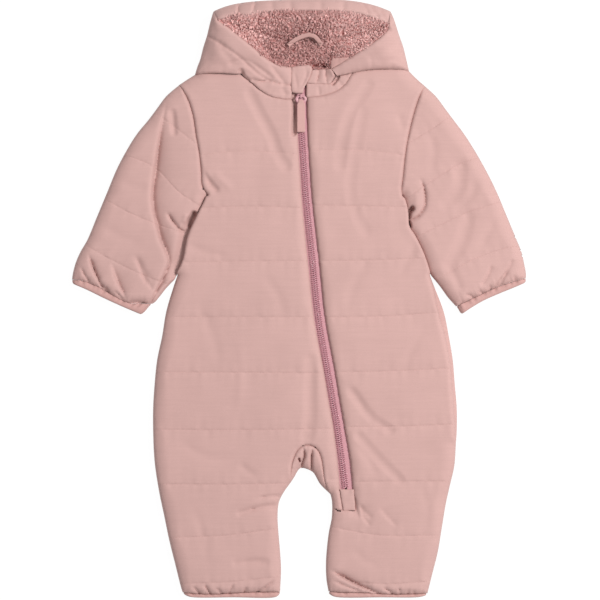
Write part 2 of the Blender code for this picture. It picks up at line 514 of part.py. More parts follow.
class Solid:
    """Collects the points and faces of one closed cloth wall, in millimetres."""

    def __init__(self):
        self.mesh = bmesh.new()

    def ring(self, plan, heights):
        """Adds points over plan positions at their heights."""
        heights = np.broadcast_to(heights, len(plan))
        return [self.mesh.verts.new((x * MM, y * MM, z * MM)) for (x, y), z in zip(plan, heights)]

    def ring_where(self, plan, wanted, height):
        """Adds points at one height over the wanted plan positions, and None elsewhere."""
        return [self.ring([place], height)[0] if want else None for place, want in zip(plan, wanted)]

    def face(self, *corners):
        """Adds a face, leaving out repeated corners."""
        distinct = []
        for corner in corners:
            if corner not in distinct:
                distinct.append(corner)
        if len(distinct) > 2:
            self.mesh.faces.new(distinct)

    def skirt(self, upper, lower, wanted=None):
        """Joins two rings that run the same way round, or only the wanted sides of them."""
        count = len(upper)
        for i in range(count) if wanted is None else wanted:
            j = (i + 1) % count
            self.face(upper[i], lower[i], lower[j], upper[j])

    def cap(self, ring, plan, faces_up, stations=(), chains=(), height=None):
        """Closes a ring with triangles through its stations, at the given height law."""
        flat, triangles = triangulated(plan, stations, chains)
        points = list(ring)
        if len(flat) > len(ring):
            points += self.ring(flat[len(ring):], height(flat[len(ring):]))
        for a, b, c in triangles:
            self.face(points[a], points[b], points[c]) if faces_up else self.face(points[a], points[c], points[b])

    def finish(self, name, finish, collection, sharp=40.0):
        """Makes the object, with its faces in triangles pointing out."""
        bmesh.ops.triangulate(self.mesh, faces=self.mesh.faces[:])
        bmesh.ops.recalc_face_normals(self.mesh, faces=self.mesh.faces[:])
        mesh = bpy.data.meshes.new(name)
        self.mesh.to_mesh(mesh)
        self.mesh.free()
        mesh.shade_smooth()
        mesh.set_sharp_from_angle(angle=math.radians(sharp))
        return add_object(name, mesh, finish, collection)


def single_wall(name, outline, top, base, finish, collection, stations=((), ()), underside=None, foot=None):
    """One layer of cloth: a shaped outer face over a base, with straight or rolled-under edges.

    top and base are heights over plan points, or numbers.  foot gives, for each kind of edge,
    how far the underside stands in from it.  underside gives the stations of a shaped base.
    """
    height = top if callable(top) else (lambda points: np.full(len(points), float(top)))
    floor = base if callable(base) else (lambda points: np.full(len(points), float(base)))
    solid = Solid()
    plan = outline.inset(lambda kind: 0.0)
    low_plan = plan if foot is None else outline.inset(foot)
    upper = solid.ring(plan, height(plan))
    lower = solid.ring(low_plan, floor(low_plan))
    if foot is None:
        solid.skirt(upper, lower)
    else:
        waist = solid.ring(outline.inset(lambda kind: 0.04 * foot(kind)), 0.5 * height(plan))
        ankle = solid.ring(outline.inset(lambda kind: 0.42 * foot(kind)), 0.13 * height(plan))
        solid.skirt(upper, waist)
        solid.skirt(waist, ankle)
        solid.skirt(ankle, lower)
    solid.cap(upper, plan, True, *stations, height=height)
    solid.cap(lower, low_plan, False, *(underside or ((), ())), height=floor)
    return solid.finish(name, finish, collection)


def folded_wall(name, outline, top, slit, finish, collection, stations=((), ()), foot=5.0, wall=WALL):
    """Cloth laid double as a tube: closed along its folds, with a flat slit open at its other edges.

    outline's "fold" stretches are the closed edges; the slit shows at the rest.
    """
    solid = Solid()
    count = len(outline.loop)
    folds = [kind == "fold" for kind in outline.kinds]
    on_fold = [folds[i] or folds[i - 1] for i in range(count)]
    plan = outline.inset(lambda kind: 0.0)
    low_plan = outline.inset(lambda kind: foot if kind == "fold" else 0.0)
    waist_plan = outline.inset(lambda kind: 0.16 * foot if kind == "fold" else 0.0)
    slit_plan = outline.inset(lambda kind: wall if kind == "fold" else 0.0)
    heights = np.where(on_fold, LIE_LINE + 0.4, top(plan))
    upper = solid.ring(plan, heights)
    lower = solid.ring(low_plan, 0.0)
    waist = solid.ring_where(waist_plan, on_fold, 0.42 * LIE_LINE)
    ceiling, floor = [], []
    for (x, y), fold in zip(slit_plan, on_fold):
        if fold:
            tip = solid.mesh.verts.new((x * MM, y * MM, LIE_LINE * MM))
            ceiling.append(tip)
            floor.append(tip)
        else:
            ceiling.append(solid.mesh.verts.new((x * MM, y * MM, (LIE_LINE + slit / 2) * MM)))
            floor.append(solid.mesh.verts.new((x * MM, y * MM, (LIE_LINE - slit / 2) * MM)))
    for i in range(count):
        j = (i + 1) % count
        if folds[i]:
            solid.face(upper[i], waist[i], waist[j], upper[j])
            solid.face(waist[i], lower[i], lower[j], waist[j])
        else:
            solid.face(upper[i], ceiling[i], ceiling[j], upper[j])
            under_i = [lower[i], waist[i], upper[i]] if on_fold[i] else [lower[i]]
            under_j = [upper[j], waist[j], lower[j]] if on_fold[j] else [lower[j]]
            solid.face(*([floor[i]] + under_i[::-1] + under_j[::-1] + [floor[j]]))
    solid.cap(upper, plan, True, *stations, height=top)
    solid.cap(lower, low_plan, False)
    flat, triangles = triangulated(slit_plan, slit_stations(slit_plan, wall))
    ceiling += solid.ring(flat[count:], LIE_LINE + slit / 2)
    floor += solid.ring(flat[count:], LIE_LINE - slit / 2)
    for a, b, c in triangles:
        if ceiling[a] is floor[a] and ceiling[b] is floor[b] and ceiling[c] is floor[c]:
            continue
        solid.face(ceiling[a], ceiling[c], ceiling[b])
        solid.face(floor[a], floor[b], floor[c])
    return solid.finish(name, finish, collection)


def slit_stations(plan, wall):
    """Points along the middle of a sleeve's slit, so that its two faces stand apart between the folds."""
    if wall < WALL:
        return []
    low, high = plan.min(axis=0), plan.max(axis=0)
    columns, rows = (np.arange(low[k] + SLIT_PITCH / 2, high[k], SLIT_PITCH) for k in (0, 1))
    grid = np.array([(x + 0.7 * (row % 2), y) for row, y in enumerate(rows) for x in columns])
    gap, _ = distance_to(grid, np.vstack([plan, plan[:1]]))
    return list(grid[is_inside(grid, plan) & (gap > 5.0)])


# ---------------------------------------------------------------------- finishes
FINISHES = {
    # name: colour, roughness, metallic
    "shell": ((0.68, 0.42, 0.39), 0.75, 0.0),
    "binding": ((0.66, 0.40, 0.37), 0.8, 0.0),
    "pile": ((0.45, 0.20, 0.19), 0.95, 0.0),
    "tape": ((0.52, 0.24, 0.29), 0.7, 0.0),
    "teeth": ((0.48, 0.21, 0.28), 0.45, 0.0),
    "slider": ((0.50, 0.23, 0.29), 0.4, 0.1),
}


# ---------------------------------------------------------------------- body
def front_outlines():
    """Plan outlines of the two fronts."""
    zip_top = ZIP_ROWS[0]
    right = Outline(
        ("seam", seam("neck_right", reverse=True)),
        ("hidden", seam("hood_fold_right", reverse=True)),
        ("side", seam("shoulder_right")),
        ("seam", seam("armhole_right")),
        ("side", seam("tuck_right")),
        ("side", seam("side_right")),
        ("hem", seam("hem_right")),
        ("side", seam("inseam_right")),
        ("seam", seam("gusset_seam", 9.0)),
        ("side", seam("strip_side", 9.0)),
        ("seam", seam("strip_seam", 9.0)),
        ("zip", spline([(51.5, -243.0), (49.4, -232.0), (ZIP_ROWS[-1][1], ZIP_ROWS[-1][0])], 12.0)),
        ("zip", zip_path(1, reverse=True)),
        ("seam", np.array([(zip_top[1], zip_top[0]), (-8.0, 234.0), (-8.0, 229.4)])),
    )
    left = Outline(
        ("zip", zip_path(3, whole=False)),
        ("zip", spline([(ZIP_ROWS[-1][3], ZIP_ROWS[-1][0]), (62.9, -232.0), (63.6, -242.6)], 12.0)),
        ("seam", seam("patch_seam", reverse=True)),
        ("seam", seam("strip_seam", 9.0, reverse=True)),
        ("side", seam("inseam_left")),
        ("hem", seam("hem_left")),
        ("side", seam("thigh_left", reverse=True)),
        ("side", seam("side_seam_left", reverse=True)),
        ("side", seam("tuck_left", reverse=True)),
        ("seam", seam("armhole_left", reverse=True)),
        ("side", seam("shoulder_left", reverse=True)),
        ("hidden", seam("hood_fold_left", reverse=True)),
        ("seam", seam("neck_left")),
    )
    return right, left


def build_body(collection):
    """The back, both fronts and the crotch gusset."""
    right, left = front_outlines()
    for name, outline in (("front_right", right), ("front_left", left)):
        def top(points, name=name, outline=outline):
            return np.maximum(quilted(points, name, outline, FRONT_CREST), FRONT_BASE + 1.3)
        single_wall(name, outline, top, FRONT_BASE, "shell", collection, stations_on(name, outline))
    back = Outline(
        ("seam", seam("nape", reverse=True)),
        ("side", seam("shoulder_right")),
        ("seam", seam("armhole_right")),
        ("side", seam("tuck_right")),
        ("side", seam("side_right")),
        ("seam", seam("hem_right")),
        ("side", seam("inseam_right")),
        ("side", seam("crotch", 9.0)),
        ("side", seam("strip_side", 9.0)),
        ("side", seam("inseam_left")),
        ("seam", seam("hem_left")),
        ("side", seam("thigh_left", reverse=True)),
        ("side", seam("side_left", reverse=True)),
        ("side", seam("tuck_left", reverse=True)),
        ("seam", seam("armhole_left", reverse=True)),
        ("side", seam("shoulder_left", reverse=True)),
    )
    single_wall("back", back, BACK_TOP, 0.0, "shell", collection, foot=lambda kind: EDGE_FORMS[kind].foot)
    gusset = Outline(
        ("side", seam("crotch", 9.0)),
        ("seam", seam("gusset_seam", 9.0, reverse=True)),
    )
    single_wall("crotch_gusset", gusset, lambda points: quilted(points, "crotch_gusset", gusset, 17.0), FRONT_BASE,
                "shell", collection, stations_on("crotch_gusset", gusset, rings=(3.5, 8.0)))


# ---------------------------------------------------------------------- sleeves and bindings
def build_sleeves(collection):
    """Both sleeves, each a tube laid flat, and the bindings that finish cuffs and hems."""
    outlines = {
        "sleeve_right": Outline(
            ("seam", seam("armhole_right", reverse=True)),
            ("fold", seam("sleeve_top_right")),
            ("hem", seam("cuff_seam_right")),
            ("fold", seam("underarm_right")),
            ("fold", np.vstack([seam("underarm_right")[-1:], beside(seam("tuck_right", reverse=True), 1.6)[1:-1],
                                seam("tuck_right")[:1]])),
        ),
        "sleeve_left": Outline(
            ("seam", seam("armhole_left")),
            ("fold", np.vstack([seam("tuck_left")[:1], beside(seam("tuck_left"), 1.6)[1:-1],
                                seam("underarm_left")[-1:]])),
            ("fold", seam("underarm_left", reverse=True)),
            ("hem", seam("cuff_seam_left", reverse=True)),
            ("fold", seam("sleeve_top_left", reverse=True)),
        ),
    }
    for name, outline in outlines.items():
        def top(points, name=name, outline=outline):
            return np.maximum(quilted(points, name, outline, SLEEVE_CREST), LIE_LINE + 0.6)
        folded_wall(name, outline, top, SLEEVE_SLIT, "shell", collection, stations_on(name, outline))
    bindings = {
        "cuff_binding_right": ("cuff_seam_right", "cuff_end_right"),
        "cuff_binding_left": ("cuff_seam_left", "cuff_end_left"),
        "leg_binding_right": ("hem_right", "hem_end_right"),
        "leg_binding_left": ("hem_left", "hem_end_left"),
    }
    for name, (inner, outer) in bindings.items():
        inner_path, outer_path = seam(inner), seam(outer)
        outline = binding_outline(inner_path, outer_path)

        def top(points, outline=outline):
            return BINDING_CREST - 2.4 * (1.0 - swell(edge_distance(points, outline), 3.0))
        folded_wall(name, outline, top, MOUTH_GAP, "binding", collection, foot=BINDING_FOOT, wall=BINDING_WALL)


def edge_distance(points, outline):
    """Distance from plan points to an outline."""
    return distance_to(points, np.vstack([outline.loop, outline.loop[:1]]))[0]


def binding_outline(inner_path, outer_path):
    """Plan of a narrow band between a seam and the free end of a sleeve or leg."""
    stretches = [("seam", inner_path[::-1]), ("fold", np.array([inner_path[0], outer_path[0]])),
                 ("seam", outer_path), ("fold", np.array([outer_path[-1], inner_path[-1]]))]
    x, y = np.vstack([path[:-1] for _, path in stretches]).T
    if np.sum(x * np.roll(y, -1) - np.roll(x, -1) * y) < 0:
        stretches = [(kind, path[::-1]) for kind, path in stretches[::-1]]
    return Outline(*stretches)


def lowest_near(law, points, reach):
    """The lowest value of a height law at each point and in a small ring round it."""
    lowest = law(points)
    for turn in np.linspace(0.0, 2 * math.pi, 9)[:-1]:
        lowest = np.minimum(lowest, law(points + reach * np.array([math.cos(turn), math.sin(turn)])))
    return lowest


def beside(path, shift):
    """A path moved to its left by the shift."""
    heading = np.gradient(path, axis=0)
    side = np.column_stack([-heading[:, 1], heading[:, 0]]) / np.linalg.norm(heading, axis=1)[:, None]
    return path + side * shift


# ---------------------------------------------------------------------- hood
def build_hood(collection):
    """The hood, lying open behind the neck: outer back, pile lining, sides, band, facing and loop."""
    outer = spline(OUTER_HEIGHT, 6.0)
    rim = np.vstack([spline(RIM_HEIGHT_RIGHT, 6.0)[::-1], spline(BAND_HEIGHT, 6.0), spline(RIM_HEIGHT_LEFT, 6.0)])
    lower_right, lower_left = spline(LOWER_HEIGHT_RIGHT, 6.0), spline(LOWER_HEIGHT_LEFT, 6.0)
    neck_rim = np.array([(-8.3, 266.8, 19.0), (3.4, 268.9, 19.0), (13.8, 268.5, 19.0), (25.0, 264.4, 19.0),
                         (36.8, 264.5, 20.0)])
    sheet_edge = np.vstack([lower_right[::-1], outer, lower_left[::-1]])
    bowl_loop = np.vstack([rim[:, :2], neck_rim[::-1, :2]])
    bowl_ring = spline(np.vstack([bowl_loop[::-1], bowl_loop[-1:]])[::3], 9.0)

    def sheet(points):
        """Outer face of the hood's sides and band: a rolled slope from its outer edge up to the rim."""
        from_edge, edge_height = distance_to(points, sheet_edge)
        from_rim, rim_height = distance_to(points, rim)
        share = from_edge / np.maximum(from_edge + from_rim, 1e-6)
        return edge_height + (rim_height - edge_height) * np.sin(share * math.pi / 2) ** 0.8

    def bowl(points):
        """Face of the pile lining: low in the middle, rising to just under the rim all round."""
        from_rim, rim_height = distance_to(points, np.vstack([rim, neck_rim[::-1]]))
        slope = (1.0 - np.clip(from_rim / BOWL_SLOPE, 0.0, 1.0)) ** 1.4
        return BOWL_FLOOR + (rim_height - 3.0 - BOWL_FLOOR) * slope - folded_in(points, "hood_lining")

    def layer(points, full):
        """Thickness of the outer layer, thin at the silhouette."""
        return 1.5 + (full - 1.5) * np.clip(distance_to(points, outer)[0] / 7.0, 0.0, 1.0)

    def hidden_top(points):
        """Top of the folded layers: under the sides and band, and under the lining."""
        spare = 0.3 + HOOD_LAYER_GAP * np.clip(distance_to(points, outer)[0] / 7.0, 0.0, 1.0)
        under_sheet = lowest_near(lambda near: sheet(near) - layer(near, HOOD_WALL), points, 4.0) - spare
        from_rim, _ = distance_to(points, np.vstack([rim, neck_rim[::-1]]))
        beyond = np.where(is_inside(points, bowl_loop), 0.0, 1.2 * from_rim)
        under_bowl = lowest_near(bowl_under, points, 6.0) - 0.3 - HOOD_LAYER_GAP + np.clip(beyond - 6.0, 0.0, 60.0)
        across, along = points.T
        from_neck = np.maximum(np.abs(across - NECK_ZONE[0]) - NECK_ZONE[1], along - NECK_ZONE[2])
        under_collar = FRONT_BASE - 0.5 + 1.5 * np.maximum(from_neck - 8.0, 0.0)
        return np.maximum(np.minimum.reduce([under_sheet, under_bowl, under_collar]), 1.5)

    def bowl_under(points):
        """Underside of the pile lining."""
        return np.maximum(bowl(points) + folded_in(points, "hood_lining") - PILE, 8.0)

    right = Outline(
        ("seam", seam("neck_right")),
        ("seam", seam("hood_end_right", reverse=True)),
        ("rim", seam("rim_right", reverse=True)),
        ("seam", seam("corner_right", reverse=True)),
        ("side", seam("hood_side_right", reverse=True)),
        ("hidden", seam("hood_fold_right")),
    )
    left = Outline(
        ("side", seam("hood_side_left", reverse=True)),
        ("seam", seam("corner_left")),
        ("rim", seam("rim_left")),
        ("rim", seam("rim_neck")),
        ("seam", seam("hood_end_left")),
        ("hidden", seam("hood_fold_neck")),
        ("hidden", seam("hood_fold_left")),
    )
    band = Outline(
        ("seam", seam("corner_left", reverse=True)),
        ("side", seam("hood_top", reverse=True)),
        ("seam", seam("corner_right")),
        ("rim", seam("band_edge")),
    )
    for name, outline in (("hood_side_right", right), ("hood_side_left", left), ("hood_band", band)):
        def top(points, name=name):
            stitch = np.zeros(len(points))
            for owner, knots in QUILTING:
                if owner == name:
                    stitch = 1.2 * (1.0 - swell(distance_to(points, spline(knots, 8.0))[0], 8.0))
            return sheet(points) - stitch - folded_in(points, name)

        def under(points):
            return np.maximum(sheet(points) - layer(points, HOOD_WALL), FRONT_BASE)
        rings = (3.0, 8.0) if name != "hood_band" else (3.0, 7.0)
        points = stations_on(name, outline, rings=rings, fill=13.0)
        single_wall(name, outline, top, under, "shell", collection, points, underside=(points[0], ()))

    lining = Outline(
        ("rim", seam("rim_right")),
        ("rim", seam("garage_top")),
        ("rim", seam("collar_top")),
        ("seam", seam("facing_top")),
        ("rim", seam("rim_left", reverse=True)),
        ("rim", seam("band_edge", reverse=True)),
    )
    points = stations_on("hood_lining", lining, rings=(4.0, 10.0), fill=11.0)
    single_wall("hood_lining", lining, bowl, bowl_under, "pile", collection, points, underside=(points[0], ()))

    back = Outline(
        ("seam", seam("nape")),
        ("side", seam("hood_side_left", reverse=True)),
        ("crown", seam("hood_top", reverse=True)),
        ("side", seam("hood_side_right", reverse=True)),
    )
    inner_lip, outer_lip = beside(bowl_ring, 0.8), beside(bowl_ring, -6.0)
    points = stations_on("hood_back", back, rings=(3.0, 8.0), fill=10.0, guides=(inner_lip, outer_lip))
    foot = {"seam": 0.0, "side": 7.0, "crown": 9.0}
    single_wall("hood_back", back, hidden_top, 0.0, "shell", collection, points, foot=foot.get)

    loop_path = seam("hanger", 6.0)
    hanger = Outline(
        ("seam", beside(loop_path, -2.3)),
        ("seam", np.array([beside(loop_path, -2.3)[-1], beside(loop_path, 2.3)[-1]])),
        ("seam", beside(loop_path, 2.3)[::-1]),
        ("seam", np.array([beside(loop_path, 2.3)[0], beside(loop_path, -2.3)[0]])),
    )

    def loop_base(points):
        """Underside of the hanger loop, clear of the pile it lies on."""
        return 0.8 - lowest_near(lambda near: -bowl(near), points, 4.5)
    single_wall("hanger_loop", hanger, lambda points: loop_base(points) + 1.6, loop_base, "binding", collection)


# ---------------------------------------------------------------------- collar
def build_collar(collection):
    """The small pieces at the neck: gathered collar, neck band, facing, hanger loop and zip garage."""
    def crowned(outline, crest, fall, reach):
        return lambda points: crest - fall * (1.0 - swell(edge_distance(points, outline), reach))

    collar = Outline(
        ("seam", seam("collar_top", reverse=True)),
        ("seam", seam("garage_side")),
        ("seam", seam("collar_seam")),
        ("seam", seam("hood_end_left", reverse=True)),
    )
    single_wall("collar_left", collar, crowned(collar, 18.0, 2.5, 5.0), FRONT_BASE, "shell", collection,
                stations_on("collar_left", collar, rings=(3.5,), fill=8.0))
    neck_band = Outline(
        ("seam", seam("collar_seam", reverse=True)),
        ("seam", np.array([(8.6, 247.5), (8.2, 236.0), (8.4, 231.4)])),
        ("seam", seam("neck_left", reverse=True)),
        ("seam", seam("hood_fold_neck", reverse=True)),
    )
    single_wall("neck_band_left", neck_band, crowned(neck_band, 17.0, 1.6, 4.0), FRONT_BASE, "shell", collection,
                stations_on("neck_band_left", neck_band, rings=(3.5,)))
    facing = Outline(
        ("seam", seam("facing_top", reverse=True)),
        ("seam", seam("rim_neck", reverse=True)),
    )
    single_wall("hood_facing_left", facing, crowned(facing, 19.5, 1.5, 3.0), FRONT_BASE + 5.0, "binding", collection)
    garage = Outline(
        ("seam", seam("garage_top", reverse=True)),
        ("seam", np.array([(-8.3, 266.8), (-8.6, 248.0), (-8.1, 236.6)])),
        ("seam", seam("garage_tip", reverse=True)),
        ("seam", seam("garage_side", reverse=True)),
    )
    single_wall("zip_garage", garage, crowned(garage, 19.0, 2.0, 4.0), FRONT_BASE, "shell", collection,
                stations_on("zip_garage", garage, rings=(3.5,), fill=8.0))


# ---------------------------------------------------------------------- zip
def zip_strip(left_path, right_path):
    """Plan outline of a strip between two paths that both run down the suit."""
    return Outline(
        ("seam", left_path),
        ("seam", np.array([left_path[-1], right_path[-1]])),
        ("seam", right_path[::-1]),
        ("seam", np.array([right_path[0], left_path[0]])),
    )


def build_zip(collection):
    """Tapes, closed teeth, end patch, slider, and the pull that swings on it."""
    teeth = zip_path(2)
    single_wall("zip_tape_right", zip_strip(zip_path(1), beside(teeth, -CHAIN_HALF / 3)), TAPE_TOP, FRONT_BASE + 1.2,
                "tape", collection)
    single_wall("zip_tape_left", zip_strip(beside(teeth, CHAIN_HALF / 3), zip_path(3)), TAPE_TOP, FRONT_BASE + 1.2,
                "tape", collection)
    chain = zip_strip(beside(teeth, -CHAIN_HALF), beside(teeth, CHAIN_HALF))
    single_wall("zip_chain", chain, CHAIN_TOP, TAPE_TOP + 0.3, "teeth", collection)
    bottom, right_edge, _, left_edge = ZIP_ROWS[-1]
    patch_top = bottom - 0.7
    patch = Outline(
        ("seam", np.array([(right_edge + 0.1, patch_top), (49.4, -232.0), (51.5, -243.0)])),
        ("seam", seam("patch_seam")),
        ("seam", np.array([(63.6, -242.6), (62.9, -232.0), (left_edge, patch_top)])),
        ("seam", np.array([(left_edge, patch_top), (right_edge + 0.1, patch_top)])),
    )
    single_wall("zip_end_patch", patch, lambda points: 15.6 - 1.4 * (1.0 - swell(edge_distance(points, patch), 3.5)),
                FRONT_BASE, "shell", collection, stations_on("zip_end_patch", patch, rings=(3.4,)))


def prism(name, corners, place, depth, finish, collection, round_off=0.0):
    """A flat outline, put in space by place, drawn out along the depth vector and softened."""
    solid = bmesh.new()
    face = solid.faces.new([solid.verts.new(Vector(place(*corner)) * MM) for corner in corners])
    drawn = bmesh.ops.extrude_face_region(solid, geom=[face])["geom"]
    bmesh.ops.translate(solid, verts=[part for part in drawn if isinstance(part, bmesh.types.BMVert)],
                        vec=Vector(depth) * MM)
    bmesh.ops.recalc_face_normals(solid, faces=solid.faces[:])
    if round_off:
        bmesh.ops.bevel(solid, geom=solid.edges[:], offset=round_off * MM, segments=1, affect="EDGES")
    mesh = bpy.data.meshes.new(name)
    solid.to_mesh(mesh)
    solid.free()
    return add_object(name, mesh, finish, collection)


def combine(piece, other, operation):
    """Adds another solid to a piece, or takes it away, as a live boolean."""
    change = piece.modifiers.new(operation.lower(), "BOOLEAN")
    change.operation = operation
    change.solver = "EXACT"
    change.object = other
    other.hide_render = True
    other.display_type = "WIRE"


def build_pull(collection, cutters):
    """The slider with its bail, and the ring and tab that swing together on it."""
    across, along, above = HINGE
    plate_low, plate_high = CHAIN_TOP + 0.3, CHAIN_TOP + 2.0
    outline = [(x, y) for x, y in SLIDER_PLATE] + [(-x, y) for x, y in SLIDER_PLATE[::-1]]
    slider = prism("zip_slider", outline, lambda x, y: (across + x, along + y, plate_low),
                   (0, 0, plate_high - plate_low), "slider", collection, round_off=0.4)
    bail = prism("slider_bail", SLIDER_BAIL, lambda y, z: (across - BAIL_HALF, along + y, z),
                 (2 * BAIL_HALF, 0, 0), "slider", cutters)
    combine(slider, bail, "UNION")

    half, length = PULL_RING
    turn = 1.2
    corners = [(half, 0.0), (half, -length), (-half, -length), (-half, 0.0)]
    wire = bpy.data.curves.new("zip_pull_ring", "CURVE")
    wire.dimensions = "3D"
    wire.bevel_depth = PULL_WIRE * MM
    wire.bevel_resolution = 2
    bends = []
    for before, corner, after in zip(corners[-1:] + corners, corners, corners[1:] + corners[:1]):
        corner, before, after = Vector(corner), Vector(before), Vector(after)
        enter, leave = corner + (before - corner).normalized() * turn, corner + (after - corner).normalized() * turn
        for share in (0.0, 0.5, 1.0):
            bends.append((1 - share) ** 2 * enter + 2 * share * (1 - share) * corner + share**2 * leave)
    path = wire.splines.new("POLY")
    path.points.add(len(bends) - 1)
    for point, place in zip(path.points, bends):
        point.co = (place.x * MM, place.y * MM, 0.0, 1.0)
    path.use_cyclic_u = True
    holder = bpy.data.objects.new("ring_path", wire)
    ring_mesh = bpy.data.meshes.new_from_object(holder)
    bpy.data.objects.remove(holder)
    ring_mesh.name = "zip_pull_ring"
    ring = add_object("zip_pull_ring", ring_mesh, "slider", collection)

    strip = Solid()
    sections = []
    for distance, w, t in TAB_SECTIONS:
        cut = 0.35 * t
        profile = [(w, -t + cut), (w, t - cut), (w - cut, t), (-w + cut, t), (-w, t - cut), (-w, -t + cut),
                   (-w + cut, -t), (w - cut, -t)]
        sections.append([strip.mesh.verts.new((x * MM, -distance * MM, z * MM)) for x, z in profile])
    for first, second in zip(sections, sections[1:]):
        strip.skirt(first, second)
    strip.mesh.faces.new(sections[0])
    strip.mesh.faces.new(sections[-1][::-1])
    tab = strip.finish("zip_pull_tab", "binding", collection)
    hole = bmesh.new()
    bmesh.ops.create_cone(hole, cap_ends=True, segments=12, radius1=PULL_HOLE * MM, radius2=PULL_HOLE * MM,
                          depth=12.0 * MM, matrix=Matrix.Translation((0.0, -length * MM, 0.0))
                          @ Matrix.Rotation(math.pi / 2, 4, "Y"))
    hole_mesh = bpy.data.meshes.new("tab_hole")
    hole.to_mesh(hole_mesh)
    hole.free()
    cutter = add_object("tab_hole", hole_mesh, "binding", cutters)
    combine(tab, cutter, "DIFFERENCE")
    for piece in (ring, tab, cutter):
        piece.location = Vector(HINGE) * MM


def main():
    """Builds the snowsuit."""
    for old in list(bpy.data.objects):
        bpy.data.objects.remove(old)
    collection = bpy.data.collections.new("baby_snowsuit")
    bpy.context.scene.collection.children.link(collection)
    build_body(collection)
    build_sleeves(collection)
    build_hood(collection)
    build_collar(collection)
    build_zip(collection)
    cutters = bpy.data.collections.new("cutters")
    bpy.context.scene.collection.children.link(cutters)
    build_pull(collection, cutters)


main()
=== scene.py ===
"""Padded baby snowsuit, zipped up and laid out flat on its back, dressed over its solids.

The tables are in millimetres: x runs across the suit towards the wearer's left, y from the
feet up to the hood and z up from the ground.  Right and left are the wearer's.  Each cut of
cloth is a fine grid trimmed to its plan outline and raised by a height law, which adds
stitching, puckers and folds to the form of the solid that it stands for.
"""

import logging
import math
from dataclasses import dataclass, field
from enum import Enum
from typing import Callable, Iterable, Sequence

import bmesh
import bpy
import numpy as np
from mathutils import Matrix, Vector

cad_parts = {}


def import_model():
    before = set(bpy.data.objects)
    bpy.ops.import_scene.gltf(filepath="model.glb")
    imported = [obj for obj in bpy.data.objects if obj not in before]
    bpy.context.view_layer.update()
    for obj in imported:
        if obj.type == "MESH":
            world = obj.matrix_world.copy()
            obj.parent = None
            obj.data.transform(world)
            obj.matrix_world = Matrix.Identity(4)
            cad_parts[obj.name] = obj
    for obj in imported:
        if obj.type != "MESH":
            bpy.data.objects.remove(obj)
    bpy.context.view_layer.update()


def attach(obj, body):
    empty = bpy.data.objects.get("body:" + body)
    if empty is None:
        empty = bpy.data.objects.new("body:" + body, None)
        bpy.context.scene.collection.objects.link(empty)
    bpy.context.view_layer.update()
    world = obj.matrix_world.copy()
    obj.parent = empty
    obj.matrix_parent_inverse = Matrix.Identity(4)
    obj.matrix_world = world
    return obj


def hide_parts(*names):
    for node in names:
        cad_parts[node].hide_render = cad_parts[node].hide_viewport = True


LOG = logging.getLogger("snowsuit")
MM = 0.001

# ---------------------------------------------------------------- driving sizes, millimetres
SEAM_GAP = 0.3          # free space between two pieces at a seam
BACK_TOP = 8.0          # thickness of the back, which lies on the ground
FRONT_BASE = 8.3        # the fronts lie on the back
FRONT_CREST = 18.5      # height of the middle of a quilted channel on the fronts
SLEEVE_CREST = 18.0     # the same on a sleeve
LIE_LINE = 8.15         # height at which the two layers of a tube meet
QUILT_FALL = 0.45 * 2.6  # depth of a line of quilting below the crest
QUILT_REACH = 27.0      # distance over which the wadding swells back to full height
SHARP_FOLD = 1.9        # folds at least this deep are creased sharp
TUCK_REACH = 2.2        # width of the narrow roll into a stitched seam
STITCH_DENT = 0.10      # how far the thread pulls the cloth in
JOIN_REACH = 1.0        # an edge point this near to a fold belongs to it
SAME_PLACE = 0.02       # points closer than this are joined
TAPE_TOP = 12.4         # zip tape
CHAIN_HALF = 3.4        # half the width of the closed teeth
BINDING_CREST = 14.6    # height of the bindings that finish cuffs and hems
BOWL_FLOOR = 17.5       # height of the lining in the middle of the open hood
BOWL_SLOPE = 38.0       # distance from the rim over which the lining comes down to its floor
HINGE = (2.4, 232.9, 18.6)   # axis of the zip pull, which runs across the slider
NARROWEST = 0.0105      # metres, the least width that a strip of cloth is cut to

